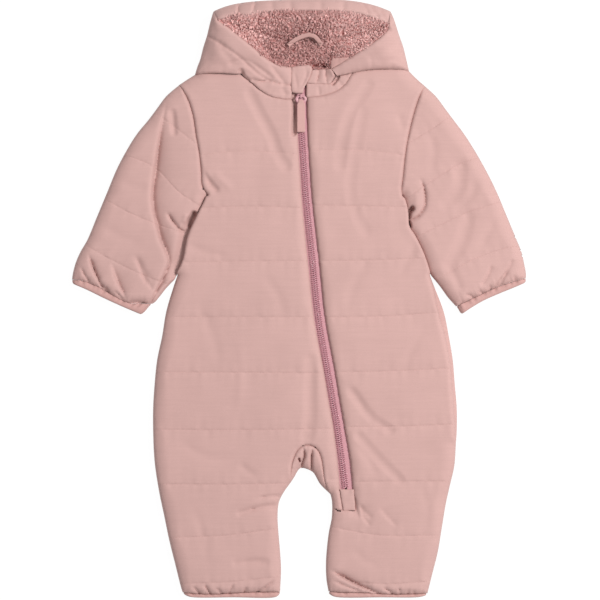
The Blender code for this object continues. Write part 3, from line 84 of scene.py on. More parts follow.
# ---------------------------------------------------------------- plan of seams, knots (x, y)
PLAN = {
    # sleeves to body
    "armhole_right": ((-137.4, 246.7), (-127.6, 228.8), (-121.9, 210.4), (-118.4, 187.4),
                      (-115.0, 169.0), (-112.7, 148.3), (-111.5, 129.9), (-104.6, 119.6)),
    "armhole_left": ((144.3, 245.5), (136.8, 228.8), (129.9, 205.8), (125.3, 185.1), (121.9, 164.4),
                     (119.6, 141.4), (117.9, 125.3), (119.0, 118.4)),
    # body side lying against the sleeve, then free
    "tuck_right": ((-104.6, 119.6), (-109.2, 109.2), (-116.1, 95.4), (-126.5, 72.4), (-132.2, 44.8),
                   (-139.7, 27.6)),
    "tuck_left": ((119.0, 118.4), (121.9, 110.4), (124.2, 97.7), (125.3, 83.9), (132.2, 72.4),
                  (141.4, 54.0), (150.6, 27.6)),
    "side_right": ((-139.7, 27.6), (-144.9, 12.6), (-152.9, -14.9), (-157.5, -42.5), (-163.3, -70.1),
                   (-166.2, -97.7), (-167.9, -125.3), (-167.9, -152.9), (-166.2, -187.4),
                   (-161.0, -221.9), (-155.2, -249.5), (-149.5, -277.1), (-142.6, -304.8),
                   (-135.7, -332.3), (-134.0, -337.5)),
    "side_left": ((150.6, 27.6), (156.4, 12.6), (166.8, -14.9), (172.5, -42.5), (177.1, -70.1),
                  (179.4, -97.7), (181.7, -125.3), (181.7, -152.9), (180.5, -169.0)),
    "side_seam_left": ((150.6, 27.6), (155.4, 11.5), (158.1, -3.4), (160.8, -17.2), (165.4, -33.3),
                       (171.3, -58.6), (176.0, -97.7), (178.2, -129.9), (180.5, -169.0)),
    "thigh_left": ((180.5, -169.0), (178.8, -192.0), (173.6, -215.0), (169.0, -235.7), (164.4, -263.3),
                   (159.8, -290.9), (152.9, -318.5), (148.9, -334.6), (147.8, -338.7)),
    # hems, inner legs and crotch
    "hem_right": ((-134.0, -337.5), (-118.4, -339.2), (-95.4, -339.6), (-73.6, -338.4), (-56.3, -337.3),
                  (-40.2, -337.3), (-21.8, -336.9)),
    "hem_left": ((33.9, -336.4), (47.1, -337.6), (65.5, -337.9), (81.6, -338.4), (96.6, -339.4),
                 (111.5, -339.8), (129.9, -339.5), (147.8, -338.7)),
    "inseam_right": ((-21.8, -336.9), (-20.7, -311.6), (-21.8, -290.9), (-23.6, -270.2),
                     (-24.7, -249.5), (-23.0, -233.4), (-17.2, -221.9), (-9.8, -211.6)),
    "inseam_left": ((38.3, -240.3), (37.6, -253.0), (34.5, -267.9), (32.2, -286.3), (31.0, -304.8),
                    (31.6, -323.1), (33.9, -336.4)),
    "crotch": ((-9.8, -211.6), (-5.2, -204.7), (1.3, -194.7), (10.3, -196.2), (16.5, -199.8),
               (24.1, -212.7), (36.2, -224.8)),
    "gusset_seam": ((-9.8, -211.6), (-9.2, -201.2), (-6.9, -185.8), (-1.3, -174.1), (6.0, -168.8),
                    (13.3, -168.8), (20.7, -173.4), (25.1, -182.8), (27.3, -196.1), (29.7, -211.3),
                    (36.2, -224.8)),
    "strip_side": ((36.2, -224.8), (37.9, -232.3), (38.3, -240.3)),
    "strip_seam": ((38.3, -240.3), (43.7, -243.0), (51.5, -243.0)),
    "patch_seam": ((51.5, -243.0), (63.6, -242.6)),
    # neck, shoulders and the hood's lower fold
    "neck_right": ((-66.1, 258.8), (-61.1, 253.6), (-54.0, 248.4), (-44.8, 240.3), (-33.3, 233.4),
                   (-19.5, 230.0), (-8.0, 229.4)),
    "hood_fold_right": ((-119.6, 258.2), (-104.6, 259.5), (-88.5, 259.5), (-72.4, 258.6),
                        (-66.1, 258.8)),
    "shoulder_right": ((-119.6, 258.2), (-128.8, 252.4), (-137.4, 246.7)),
    "hood_fold_left": ((60.9, 259.9), (72.0, 262.2), (85.0, 263.8), (98.9, 264.2), (111.5, 263.8),
                       (126.5, 262.2)),
    "hood_fold_neck": ((43.7, 256.4), (52.9, 258.2), (60.9, 259.9)),
    "shoulder_left": ((126.5, 262.2), (135.7, 253.0), (144.3, 245.5)),
    "nape": ((-119.6, 258.2), (-104.6, 260.8), (-88.5, 260.9), (-66.1, 260.2), (-40.0, 258.0),
             (20.0, 258.0), (60.9, 261.5), (85.0, 265.3), (110.0, 265.3), (126.5, 262.2)),
    "neck_left": ((60.9, 259.9), (57.5, 253.0), (51.7, 244.9), (39.1, 236.9), (24.1, 232.8),
                  (8.4, 231.4)),
    # hood silhouette, face opening and the band between them
    "hood_side_right": ((-119.6, 258.2), (-116.7, 267.9), (-113.8, 274.8), (-110.4, 288.6),
                        (-105.8, 302.4), (-102.3, 316.2), (-98.3, 330.6)),
    "hood_top": ((-98.3, 330.6), (-85.1, 335.6), (-71.3, 339.2), (-51.7, 341.5), (-27.6, 342.9),
                 (-2.3, 343.8), (21.8, 343.8), (42.5, 343.8), (56.3, 342.7), (70.1, 340.9),
                 (87.4, 336.9), (105.2, 330.6)),
    "hood_side_left": ((105.2, 330.6), (109.2, 320.8), (113.8, 307.0), (119.6, 290.9), (123.6, 274.8),
                       (126.5, 262.2)),
    "corner_right": ((-98.3, 330.6), (-93.1, 319.7)),
    "corner_left": ((105.2, 330.6), (102.9, 315.1)),
    "rim_right": ((-93.1, 319.7), (-77.0, 308.2), (-54.0, 289.8), (-35.6, 274.8), (-24.1, 269.1),
                  (-8.3, 266.8)),
    "band_edge": ((-93.1, 319.7), (-83.9, 321.8), (-75.3, 325.6), (-58.6, 324.8), (-42.5, 327.8),
                  (-26.4, 329.7), (1.1, 330.0), (26.4, 330.0), (47.1, 329.4), (65.5, 327.1),
                  (79.3, 323.6), (102.9, 315.1)),
    "rim_left": ((102.9, 315.1), (101.3, 308.8), (97.2, 303.6), (88.5, 296.7), (75.4, 287.5),
                 (59.2, 277.6)),
    "rim_neck": ((59.2, 277.6), (47.1, 270.2), (36.8, 264.5)),
    "hood_end_right": ((-8.3, 266.8), (-8.6, 248.0), (-8.0, 229.4)),
    "hood_end_left": ((36.8, 264.5), (40.6, 260.6), (43.7, 256.4)),
    # small pieces at the neck
    "garage_top": ((-8.3, 266.8), (3.4, 268.9), (13.8, 268.5), (15.3, 263.9)),
    "garage_side": ((15.3, 263.9), (13.2, 257.0), (8.6, 247.5)),
    "garage_tip": ((8.6, 247.5), (5.3, 241.0), (5.1, 236.9), (-4.6, 236.5), (-8.1, 237.6)),
    "collar_top": ((15.3, 263.9), (24.1, 264.2), (36.8, 264.5)),
    "collar_seam": ((8.6, 247.5), (24.1, 247.2), (37.5, 247.6), (40.9, 252.0), (43.7, 256.4)),
    "hanger": ((-12.6, 291.5), (-4.6, 297.3), (4.6, 301.5), (12.6, 302.9), (19.5, 300.1),
               (25.9, 291.5)),
    "facing_top": ((36.8, 264.5), (37.4, 275.8), (47.1, 277.2), (59.2, 277.6)),
    # cuffs
    "sleeve_top_right": ((-137.4, 246.7), (-152.9, 233.4), (-163.3, 219.6), (-173.6, 205.8),
                         (-185.1, 192.0), (-194.3, 178.2), (-209.3, 150.6), (-220.8, 123.0),
                         (-232.3, 95.4), (-243.8, 67.8), (-251.8, 54.0), (-257.6, 40.2), (-260.5, 28.7),
                         (-261.3, 22.4)),
    "cuff_seam_right": ((-261.3, 22.4), (-253.0, 22.0), (-241.5, 18.4), (-230.8, 13.8), (-215.0, 4.6),
                        (-201.8, -2.1), (-193.2, -5.3), (-182.5, -5.0), (-168.8, -5.5)),
    "underarm_right": ((-168.8, -5.5), (-162.1, 2.9), (-152.9, 14.4), (-141.5, 26.0)),
    "cuff_end_right": ((-260.6, 17.6), (-244.0, 10.5), (-222.1, -0.2), (-201.8, -9.4), (-181.0, -18.2)),
    "sleeve_top_left": ((144.3, 245.5), (157.5, 233.4), (167.9, 219.6), (178.2, 205.8), (188.6, 192.0),
                        (197.8, 178.2), (213.9, 150.6), (227.7, 123.0), (239.2, 95.4), (250.7, 67.8),
                        (256.2, 54.0), (259.3, 40.2), (261.4, 28.7), (261.2, 24.2)),
    "cuff_seam_left": ((261.2, 24.2), (245.5, 19.6), (231.1, 15.0), (214.0, 7.5), (195.0, -1.5),
                       (180.7, -8.5)),
    "underarm_left": ((180.7, -8.5), (171.3, 2.0), (162.1, 14.8), (152.6, 26.4)),
    "cuff_end_left": ((261.0, 19.0), (247.0, 13.0), (231.0, 6.5), (212.0, -2.0), (196.0, -11.5),
                      (187.0, -17.8)),
    # hem bindings
    "hem_end_right": ((-131.5, -340.8), (-124.0, -343.0), (-75.0, -343.3), (-27.0, -343.0),
                      (-22.6, -340.4)),
    "hem_end_left": ((34.8, -340.0), (42.0, -342.8), (95.0, -343.3), (137.0, -343.1), (146.0, -341.4)),
}

# A height that changes along a path: knots (x, y, height)
OUTER_HEIGHT = ((-119.6, 258.2, 15.0), (-112.0, 284.0, 13.0), (-98.3, 330.6, 17.0),
                (-60.0, 341.0, 26.0), (0.0, 343.8, 28.0), (60.0, 342.5, 27.0), (105.2, 330.6, 17.0),
                (118.0, 295.0, 13.0), (126.5, 262.2, 15.0))
RIM_HEIGHT_RIGHT = ((-93.1, 319.7, 38.0), (-77.0, 308.2, 37.0), (-54.0, 289.8, 33.0),
                    (-35.6, 274.8, 27.0), (-24.1, 269.1, 23.5), (-8.3, 266.8, 19.5))
BAND_HEIGHT = ((-93.1, 319.7, 38.0), (-58.6, 324.8, 40.0), (1.1, 330.0, 41.0), (65.5, 327.1, 41.0),
               (102.9, 315.1, 38.0))
RIM_HEIGHT_LEFT = ((102.9, 315.1, 38.0), (88.5, 296.7, 35.5), (75.4, 287.5, 32.5), (59.2, 277.6, 28.5),
                   (36.8, 264.5, 21.5))
LOWER_HEIGHT_RIGHT = ((-119.6, 258.2, 15.0), (-104.6, 259.5, 20.5), (-66.1, 258.8, 21.5),
                      (-44.8, 240.3, 17.5), (-8.0, 229.4, 16.3))
LOWER_HEIGHT_LEFT = ((36.8, 264.5, 20.5), (43.7, 256.4, 19.5), (60.9, 259.9, 21.0), (98.9, 264.2, 21.0),
                     (126.5, 262.2, 15.0))

# The zip: height up the suit, then where its left tape edge, teeth and right tape edge run
ZIP_ROWS = (
    # y,      right, teeth, left
    (236.0, -3.8, 2.3, 8.2),
    (231.4, -3.6, 2.4, 8.4),
    (190.9, -1.4, 3.9, 9.9),
    (154.1, 0.7, 6.2, 12.2),
    (113.8, 3.4, 9.0, 15.2),
    (43.7, 10.3, 16.3, 23.2),
    (-20.7, 17.2, 22.8, 29.9),
    (-83.9, 28.7, 33.8, 41.4),
    (-116.1, 34.0, 39.3, 46.7),
    (-144.9, 39.1, 44.2, 51.7),
    (-185.1, 44.4, 49.8, 58.6),
    (-219.5, 47.4, 54.1, 61.8),
)

# Lines of quilting on each piece, knots (x, y)
QUILTING = {
    "front_right": (
        ((-114.0, 165.7), (-67.9, 170.2), (0.0, 166.8)),
        ((-111.0, 105.0), (-60.0, 106.5), (6.0, 105.0)),
        ((-132.3, 42.5), (-60.0, 43.5), (10.0, 43.7)),
        ((-153.0, -20.7), (-60.0, -20.7), (17.0, -20.7)),
        ((-165.0, -84.0), (-60.0, -84.5), (28.0, -85.0)),
        ((-168.0, -150.0), (-60.0, -150.5), (38.0, -149.0)),
        ((-161.0, -212.7), (-80.0, -213.0), (-15.0, -212.0)),
        ((29.4, -207.8), (46.0, -207.0)),
        ((-149.5, -274.5), (-81.7, -271.5), (-24.0, -263.5)),
        ((-136.0, -327.0), (-84.0, -325.4), (-21.5, -319.0)),
    ),
    "front_left": (
        ((9.0, 171.2), (67.9, 171.5), (119.0, 166.0)),
        ((15.5, 108.1), (67.0, 107.0), (124.0, 106.0)),
        ((22.5, 43.7), (80.0, 44.5), (145.0, 47.0)),
        ((29.5, -20.7), (90.0, -20.0), (161.0, -15.5)),
        ((40.5, -84.0), (100.0, -83.0), (174.5, -79.5)),
        ((52.0, -147.0), (110.0, -146.5), (180.0, -144.0)),
        ((64.0, -210.0), (120.0, -209.5), (175.5, -209.5)),
        ((36.0, -262.0), (93.0, -271.5), (164.5, -271.5)),
        ((66.0, -325.5), (105.0, -327.5), (152.0, -324.0)),
    ),
    "sleeve_right": (
        ((-172.0, 219.5), (-145.0, 199.0), (-118.8, 178.5)),
        ((-203.0, 166.8), (-166.8, 151.8), (-136.9, 121.9), (-112.0, 106.0)),
        ((-224.0, 115.0), (-194.4, 98.9), (-150.0, 81.5), (-127.5, 76.0)),
        ((-247.0, 63.0), (-215.0, 44.9), (-180.0, 28.0), (-152.0, 17.5)),
    ),
    "sleeve_left": (
        ((178.0, 213.0), (150.0, 194.0), (125.5, 179.4)),
        ((209.0, 163.0), (185.2, 155.3), (150.0, 134.0), (121.5, 114.0)),
        ((233.0, 112.0), (189.8, 97.8), (143.8, 75.9), (133.5, 70.5)),
        ((255.0, 61.0), (238.1, 58.6), (196.6, 43.7), (158.0, 22.0)),
    ),
    "hood_side_right": (
        ((-105.8, 303.0), (-83.9, 288.6), (-67.8, 277.1), (-42.5, 255.3), (-21.8, 247.2),
         (-9.5, 246.3)),
    ),
}

# The largest folds of each piece: depth, half width, knots (x, y)
FOLDS = {
    "front_right": (
        (1.7, 9.0, ((-56.4, 236.0), (-44.8, 212.8), (-31.1, 187.5), (-24.2, 166.8), (-15.0, 153.0))),
        (2.2, 6.0, ((-107.0, 140.0), (-100.0, 128.0), (-93.0, 122.0))),
        (1.8, 10.0, ((13.8, -70.2), (12.7, -104.7), (12.7, -139.2), (9.5, -158.0))),
        (1.6, 6.0, ((-67.9, -246.1), (-49.5, -240.4), (-31.0, -238.0))),
        (1.2, 6.0, ((-72.5, -303.6), (-38.0, -302.5))),
    ),
    "front_left": (
        (1.1, 9.0, ((79.4, 246.0), (56.4, 205.9), (49.5, 178.3), (47.2, 153.0))),
        (0.8, 9.0, ((72.5, 215.1), (67.9, 182.9), (59.0, 130.0), (66.0, 98.0), (77.1, 77.1))),
        (1.4, 8.0, ((61.0, -107.0), (84.0, -136.9), (104.7, -150.7))),
        (1.4, 8.0, ((69.0, -158.0), (93.2, -185.2), (116.2, -208.2))),
        (2.0, 6.0, ((70.0, -236.0), (74.0, -251.0), (83.0, -262.0))),
        (3.2, 7.0, ((40.0, -314.0), (54.0, -321.5), (70.0, -330.0), (86.0, -334.0))),
    ),
    "sleeve_right": (
        (2.6, 11.0, ((-156.4, 208.2), (-159.9, 182.9), (-163.3, 155.3), (-167.3, 125.4),
                     (-166.8, 106.9), (-162.0, 85.1), (-157.6, 67.9), (-149.0, 49.5), (-148.9, 40.2))),
        (1.4, 6.0, ((-146.1, 215.1), (-143.8, 191.0))),
        (2.4, 6.0, ((-153.0, 100.1), (-143.8, 88.6), (-136.5, 81.5))),
        (2.4, 5.0, ((-240.4, 47.2), (-236.0, 33.0), (-229.5, 20.0))),
        (2.4, 6.0, ((-213.9, 31.1), (-207.0, 17.0), (-200.0, 4.0))),
        (2.0, 5.0, ((-187.5, 49.5), (-182.0, 33.0), (-175.0, 14.0))),
    ),
    "sleeve_left": (
        (1.1, 11.0, ((185.2, 153.0), (182.9, 125.4), (169.1, 109.3))),
        (1.1, 11.0, ((194.4, 95.5), (187.5, 67.9), (173.7, 40.3))),
        (2.2, 5.0, ((222.0, 40.0), (216.0, 26.0), (208.0, 14.0))),
        (2.0, 5.0, ((246.0, 47.0), (241.0, 36.0), (233.0, 25.0))),
    ),
    "hood_side_right": (
        (1.6, 6.0, ((-77.1, 270.3), (-63.3, 270.3), (-45.0, 262.0), (-33.3, 253.0))),
    ),
    "hood_lining": (
        (3.4, 9.0, ((-50.0, 300.0), (-36.0, 285.0), (-32.0, 273.0))),
        (3.4, 9.0, ((62.0, 314.0), (42.0, 297.0), (34.0, 280.0))),
    ),
}


class Crease(Enum):
    """Form of a crease in the cloth."""

    TROUGH = "trough"
    RIDGE = "ridge"
    STEP = "step"
    VALLEY = "valley"
    PIT = "pit"


TROUGH, RIDGE, STEP, VALLEY, PIT = Crease

# Smaller creases of each piece: form, depth, width, knots (x, y); a step is high on the left of its run,
# and a valley is wide on the left of its run and steep on the right
CREASES = {
    "front_right": (
        (STEP, 2.4, 7.0, ((-110, 151), (-103, 139), (-87, 121))),
        (RIDGE, 1.2, 7.0, ((-100, 148), (-91, 138), (-75, 124))),
        (VALLEY, 2.0, 3.0, ((-14, -227), (-33, -226), (-54, -230))),
        (VALLEY, 1.8, 3.5, ((-14, -237), (-43, -239), (-72, -247))),
        (TROUGH, 1.0, 7.0, ((-70, -187), (-60, -197), (-47, -204))),
        (TROUGH, 0.9, 9.0, ((-137, 68), (-107, 54), (-77, 49))),
        (TROUGH, 0.7, 11.0, ((-118, -1), (-98, -47), (-91, -84))),
        (TROUGH, 0.7, 10.0, ((-43, 33), (-22, -1), (-17, -31))),
        (RIDGE, 0.6, 10.0, ((-70, -36), (-66, -84), (-72, -139))),
        (TROUGH, 0.7, 9.0, ((-141, -162), (-107, -181), (-68, -185))),
        (TROUGH, 0.6, 9.0, ((-125, -231), (-109, -277), (-107, -312))),
        (VALLEY, 3.4, 1.8, ((-124, -330), (-118, -335), (-113, -343))),
        (VALLEY, 3.4, 1.6, ((-110, -327), (-105, -335), (-100, -344))),
        (VALLEY, 3.2, 1.6, ((-97, -331), (-91, -337), (-85, -344))),
        (VALLEY, 3.0, 1.6, ((-75, -327), (-79, -334), (-82, -343))),
        (VALLEY, 4.0, 2.6, ((-25, -321), (-40, -332), (-56, -342))),
        (VALLEY, 3.0, 1.6, ((-60, -330), (-63, -336), (-64, -343))),
        (TROUGH, 1.0, 6.0, ((-68, -304), (-53, -301), (-36, -302))),
        (PIT, 5.5, 2.6, ((-6, 237), (-6, 230), (-5, 215), (-6, 201), (-6, 190))),
    ),
    "front_left": (
        (TROUGH, 0.8, 7.0, ((114, 215), (117, 204), (121, 192))),
        (RIDGE, 0.6, 12.0, ((66, 247), (47, 210), (40, 176))),
        (TROUGH, 0.7, 10.0, ((84, 56), (61, 10), (54, -24))),
        (TROUGH, 0.8, 9.0, ((137, 77), (128, 49), (112, 22))),
        (TROUGH, 0.6, 9.0, ((151, -24), (128, -61), (121, -93))),
        (TROUGH, 0.8, 9.0, ((43, -91), (66, -112), (79, -139))),
        (TROUGH, 0.8, 8.0, ((59, -162), (79, -183), (91, -208))),
        (VALLEY, 1.6, 8.0, ((91, -238), (101, -250), (114, -263))),
        (VALLEY, 3.0, 5.0, ((70, -254), (66, -238), (62, -222))),
        (VALLEY, 2.4, 5.0, ((67, -235), (76, -246), (86, -254))),
        (STEP, 2.4, 4.0, ((36, -239), (47, -244), (62, -242))),
        (VALLEY, 5.0, 2.6, ((31, -309), (53, -321), (72, -331), (89, -338), (102, -343))),
        (VALLEY, 3.2, 2.2, ((37, -323), (55, -331), (75, -338))),
        (VALLEY, 3.6, 1.8, ((95, -331), (103, -336), (112, -344))),
        (VALLEY, 2.6, 1.3, ((114, -331), (116, -337), (117, -344))),
        (VALLEY, 2.4, 1.3, ((125, -332), (125, -338), (123, -344))),
        (VALLEY, 2.4, 1.2, ((130, -334), (132, -338), (135, -344))),
        (TROUGH, 1.2, 4.0, ((140, -334), (141, -338), (143, -344))),
        (TROUGH, 0.6, 9.0, ((139, -208), (148, -243), (144, -277))),
        (TROUGH, 0.6, 9.0, ((59, -283), (75, -300), (98, -309))),
    ),
    "sleeve_right": (
        (VALLEY, 8.0, 10.0, ((-151, 238), (-156, 208), (-162, 171), (-166, 141), (-168, 122),
                             (-167, 105), (-163, 86), (-158, 68), (-152, 54), (-149, 43), (-154, 29),
                             (-162, 13), (-170, -3), (-182, -26), (-194, -52))),
        (VALLEY, 4.5, 2.2, ((-125, 75), (-133, 78), (-140, 83), (-147, 92), (-153, 102))),
        (RIDGE, 1.4, 4.5, ((-129, 99), (-131, 93), (-133, 86))),
        (PIT, 13.0, 3.0, ((-121, 98), (-123, 94), (-125, 90), (-125, 85))),
        (TROUGH, 6.0, 13.0, ((-121, 98), (-129, 83), (-132, 68), (-135, 54), (-140, 38), (-148, 20))),
        (VALLEY, 4.4, 3.0, ((-243, 54), (-237, 36), (-231, 22), (-225, 6))),
        (VALLEY, 3.0, 2.0, ((-252, 38), (-247, 28), (-240, 16))),
        (VALLEY, 3.2, 10.0, ((-217, 45), (-206, 16), (-197, -5))),
        (VALLEY, 4.0, 4.0, ((-200, -6), (-190, -4), (-181, -5), (-169, -13))),
        (TROUGH, 1.4, 6.0, ((-190, 53), (-182, 38), (-174, 23))),
        (VALLEY, 1.8, 5.0, ((-182, 32), (-175, 20), (-166, 7))),
        (VALLEY, 3.0, 1.4, ((-231, 18), (-225, 13), (-221, 5))),
        (VALLEY, 2.8, 1.4, ((-224, 16), (-220, 9), (-215, 0))),
        (VALLEY, 2.6, 1.4, ((-213, 10), (-208, 5), (-201, -3))),
        (TROUGH, 0.8, 10.0, ((-208, 139), (-192, 130), (-171, 128))),
        (TROUGH, 0.8, 10.0, ((-229, 84), (-206, 72), (-176, 63))),
        (TROUGH, 1.1, 6.0, ((-146, 220), (-144, 204), (-143, 185))),
    ),
    "sleeve_left": (
        (VALLEY, 5.0, 2.0, ((136, 141), (141, 135), (144, 125), (145, 115), (144, 106), (140, 99),
                            (135, 94), (129, 92), (123, 95), (120, 101))),
        (RIDGE, 1.0, 7.0, ((132, 125), (136, 114), (132, 105))),
        (PIT, 13.0, 2.7, ((130, 104), (127, 101), (125, 95))),
        (PIT, 10.0, 2.2, ((126, 88), (127, 84))),
        (TROUGH, 0.9, 9.0, ((151, 194), (155, 169), (151, 141))),
        (TROUGH, 1.0, 15.0, ((187, 169), (184, 128), (166, 98))),
        (TROUGH, 1.2, 9.0, ((206, 141), (197, 118), (176, 100))),
        (TROUGH, 0.9, 15.0, ((198, 107), (189, 68), (167, 31))),
        (TROUGH, 0.9, 9.0, ((229, 95), (215, 72), (206, 54))),
        (VALLEY, 3.0, 1.4, ((218, 17), (220, 13), (221, 5))),
        (VALLEY, 3.2, 1.6, ((235, 29), (229, 18), (223, 9))),
        (VALLEY, 3.0, 1.4, ((241, 34), (235, 24), (230, 10))),
        (VALLEY, 2.2, 1.2, ((246, 28), (248, 23), (250, 16))),
        (VALLEY, 3.0, 1.6, ((190, 5), (198, 3), (205, -2))),
        (VALLEY, 3.2, 1.4, ((206, 10), (211, 7), (217, 3))),
        (TROUGH, 1.2, 4.0, ((182, -3), (189, -6), (197, -10))),
        (TROUGH, 1.2, 8.0, ((169, 43), (181, 22), (187, 3))),
    ),
    "zip_garage": (
        (RIDGE, 1.0, 2.6, ((15, 267), (13, 256), (8, 246), (3, 238))),
        (TROUGH, 1.0, 3.0, ((9, 266), (8, 256), (2, 243))),
        (TROUGH, 0.6, 3.0, ((-6, 263), (-3, 250), (-2, 238))),
    ),
    "hood_side_right": (
        (VALLEY, 3.4, 4.0, ((-31, 250), (-45, 251), (-60, 253))),
        (PIT, 3.6, 2.6, ((-59, 251), (-64, 256), (-67, 262))),
        (VALLEY, 2.6, 6.0, ((-36, 273), (-25, 258), (-14, 244))),
        (TROUGH, 1.4, 8.0, ((-95, 300), (-84, 282), (-72, 268))),
        (VALLEY, 2.2, 6.0, ((-82, 270), (-61, 274), (-43, 263), (-23, 248))),
        (TROUGH, 1.2, 5.0, ((-21, 245), (-17, 238), (-13, 232))),
    ),
    "hood_side_left": (
        (TROUGH, 0.5, 4.0, ((80, 282), (83, 274), (85, 264))),
        (TROUGH, 1.2, 9.0, ((113, 298), (98, 284), (77, 273))),
        (PIT, 2.6, 3.2, ((90, 317), (97, 310), (103, 307))),
        (TROUGH, 0.9, 7.0, ((118, 277), (102, 273), (86, 268))),
    ),
    "hood_band": (
        (VALLEY, 3.0, 5.0, ((-68, 343), (-70, 334), (-70, 323))),
        (VALLEY, 2.6, 4.0, ((-49, 344), (-52, 335), (-54, 325))),
        (TROUGH, 1.4, 6.0, ((-31, 344), (-31, 337), (-30, 329))),
        (TROUGH, 1.6, 6.0, ((-10, 344), (-10, 337), (-9, 329))),
        (TROUGH, 1.4, 6.0, ((26, 344), (25, 337), (26, 329))),
        (TROUGH, 1.4, 6.0, ((52, 344), (51, 336), (53, 328))),
        (VALLEY, 2.8, 4.0, ((70, 340), (76, 334), (80, 324))),
        (VALLEY, 3.2, 4.0, ((79, 338), (86, 330), (93, 320))),
        (VALLEY, 3.8, 5.0, ((89, 337), (97, 325), (105, 313))),
        (STEP, 2.6, 5.0, ((-92, 320), (-96, 324), (-97, 331))),
    ),
    "collar_left": (
        (VALLEY, 3.2, 4.0, ((21.5, 269), (22, 257.5), (18.5, 245))),
        (VALLEY, 2.6, 3.5, ((30, 269), (30.5, 257.5), (32, 245))),
        (VALLEY, 3.4, 4.0, ((39, 267), (41, 255.5), (35.5, 244))),
        (PIT, 5.0, 1.2, ((43.5, 256), (41, 252), (38, 247.5))),
        (RIDGE, 3.4, 7.0, ((34.5, 271.5), (37, 264.5), (40, 260), (45, 254))),
    ),
    "neck_band_left": (
        (TROUGH, 1.0, 4.0, ((22, 247), (23, 240.5), (24, 233.5))),
        (TROUGH, 1.0, 4.0, ((42.5, 254), (48.5, 247), (55, 242.5))),
        (PIT, 5.5, 1.9, ((45, 255.5), (42.5, 251.5), (39, 247.5))),
    ),
    "crotch_gusset": (
        (VALLEY, 6.5, 1.5, ((4.5, -169.5), (6, -180), (3.5, -188), (0, -202.5))),
        (VALLEY, 6.5, 1.5, ((15.5, -169.5), (14, -183.5), (14.5, -210.5))),
        (PIT, 6.0, 1.2, ((0, -184), (0.5, -186.5))),
    ),
    "back": (
        (TROUGH, 0.8, 6.0, ((163, -36), (167, -43), (172, -47))),
        (TROUGH, 0.8, 6.0, ((174, -84), (177, -93), (181, -100))),
    ),
}


# ---------------------------------------------------------------------- plan geometry
Points = np.ndarray
HeightLaw = Callable[[Points], np.ndarray]


def spline(knots: Sequence[Sequence[float]], step: float = 4.0) -> Points:
    """Samples a smooth curve through knots at an even spacing.

    Args:
        knots: points of two or three values that the curve passes through.
        step: wanted spacing of the samples.

    Returns:
        The samples, one row each.
    """
    knots = np.asarray(knots, float)
    dense = knots
    if len(knots) > 2:
        ends = np.vstack([2 * knots[0] - knots[1], knots, 2 * knots[-1] - knots[-2]])
        rows = []
        for before, start, finish, after in zip(ends, ends[1:], ends[2:], ends[3:]):
            legs = ((before, start), (start, finish), (finish, after))
            first, middle, last = (max(np.linalg.norm(b - a), 1e-6) ** 0.5 for a, b in legs)
            across = (finish - start) / middle
            leave = (start - before) / first - (finish - before) / (first + middle) + across
            arrive = across - (after - start) / (middle + last) + (after - finish) / last
            leave, arrive = leave * middle, arrive * middle
            for t in np.linspace(0.0, 1.0, 13)[:-1]:
                rows.append((2 * t**3 - 3 * t**2 + 1) * start + (t**3 - 2 * t**2 + t) * leave
                            + (3 * t**2 - 2 * t**3) * finish + (t**3 - t**2) * arrive)
        dense = np.array(rows + [knots[-1]])
    lengths = run_of(dense)
    count = max(1, int(round(lengths[-1] / step)))
    stations = np.linspace(0.0, lengths[-1], count + 1)
    return np.column_stack([np.interp(stations, lengths, dense[:, k]) for k in range(dense.shape[1])])


def run_of(path: Points) -> np.ndarray:
    """Distance run along a path at each of its points."""
    return np.concatenate([[0.0], np.cumsum(np.linalg.norm(np.diff(path[:, :2], axis=0), axis=1))])


def seam(name: str, step: float = 4.0, reverse: bool = False) -> Points:
    """The sampled plan path of that name, the same for each piece that shares it."""
    path = spline(PLAN[name], step)
    return path[::-1] if reverse else path


def zip_path(column: int, reverse: bool = False, whole: bool = True) -> Points:
    """Plan path of a zip edge or of the teeth, from the top or from the neck seam down.

    Args:
        column: which value of ZIP_ROWS is followed.
        reverse: run from the bottom up instead.
        whole: start at the very top, above the neck seam.

    Returns:
        The sampled path.
    """
    places = [(row[column], row[0]) for row in ZIP_ROWS]
    path = spline(places[1:], 5.0)
    path = np.vstack([places[:1], path]) if whole else path
    return path[::-1] if reverse else path


def sideways(path: Points) -> Points:
    """Unit vectors to the left of a path in plan."""
    heading = np.gradient(path[:, :2], axis=0)
    heading /= np.maximum(np.linalg.norm(heading, axis=1), 1e-9)[:, None]
    return np.column_stack([-heading[:, 1], heading[:, 0]])


def beside(path: Points, shift: float) -> Points:
    """A plan path moved to its left by the shift."""
    return path[:, :2] + sideways(path) * shift


def moved_out(path: Points, reach: float = 0.9, ease: float = 2.0) -> Points:
    """A stretch of a counter-clockwise outline moved outwards, but not at its two ends.

    Args:
        path: the stretch.
        reach: how far it moves, to lie over or under the piece beside it.
        ease: distance from an end over which it comes to its full reach.

    Returns:
        The moved stretch.
    """
    run = run_of(path)
    share = np.clip(np.minimum(run, run[-1] - run) / ease, 0.0, 1.0)[:, None]
    return path[:, :2] - sideways(path) * reach * share


@dataclass(frozen=True)
class Nearest:
    """Where plan points lie against a path."""

    gap: np.ndarray      # distance to the path
    run: np.ndarray      # how far along the path the nearest place is
    side: np.ndarray     # 1 to the left of the path, -1 to its right
    value: np.ndarray    # the path's third value there
    foot: Points         # the nearest place itself
    length: float        # the whole path


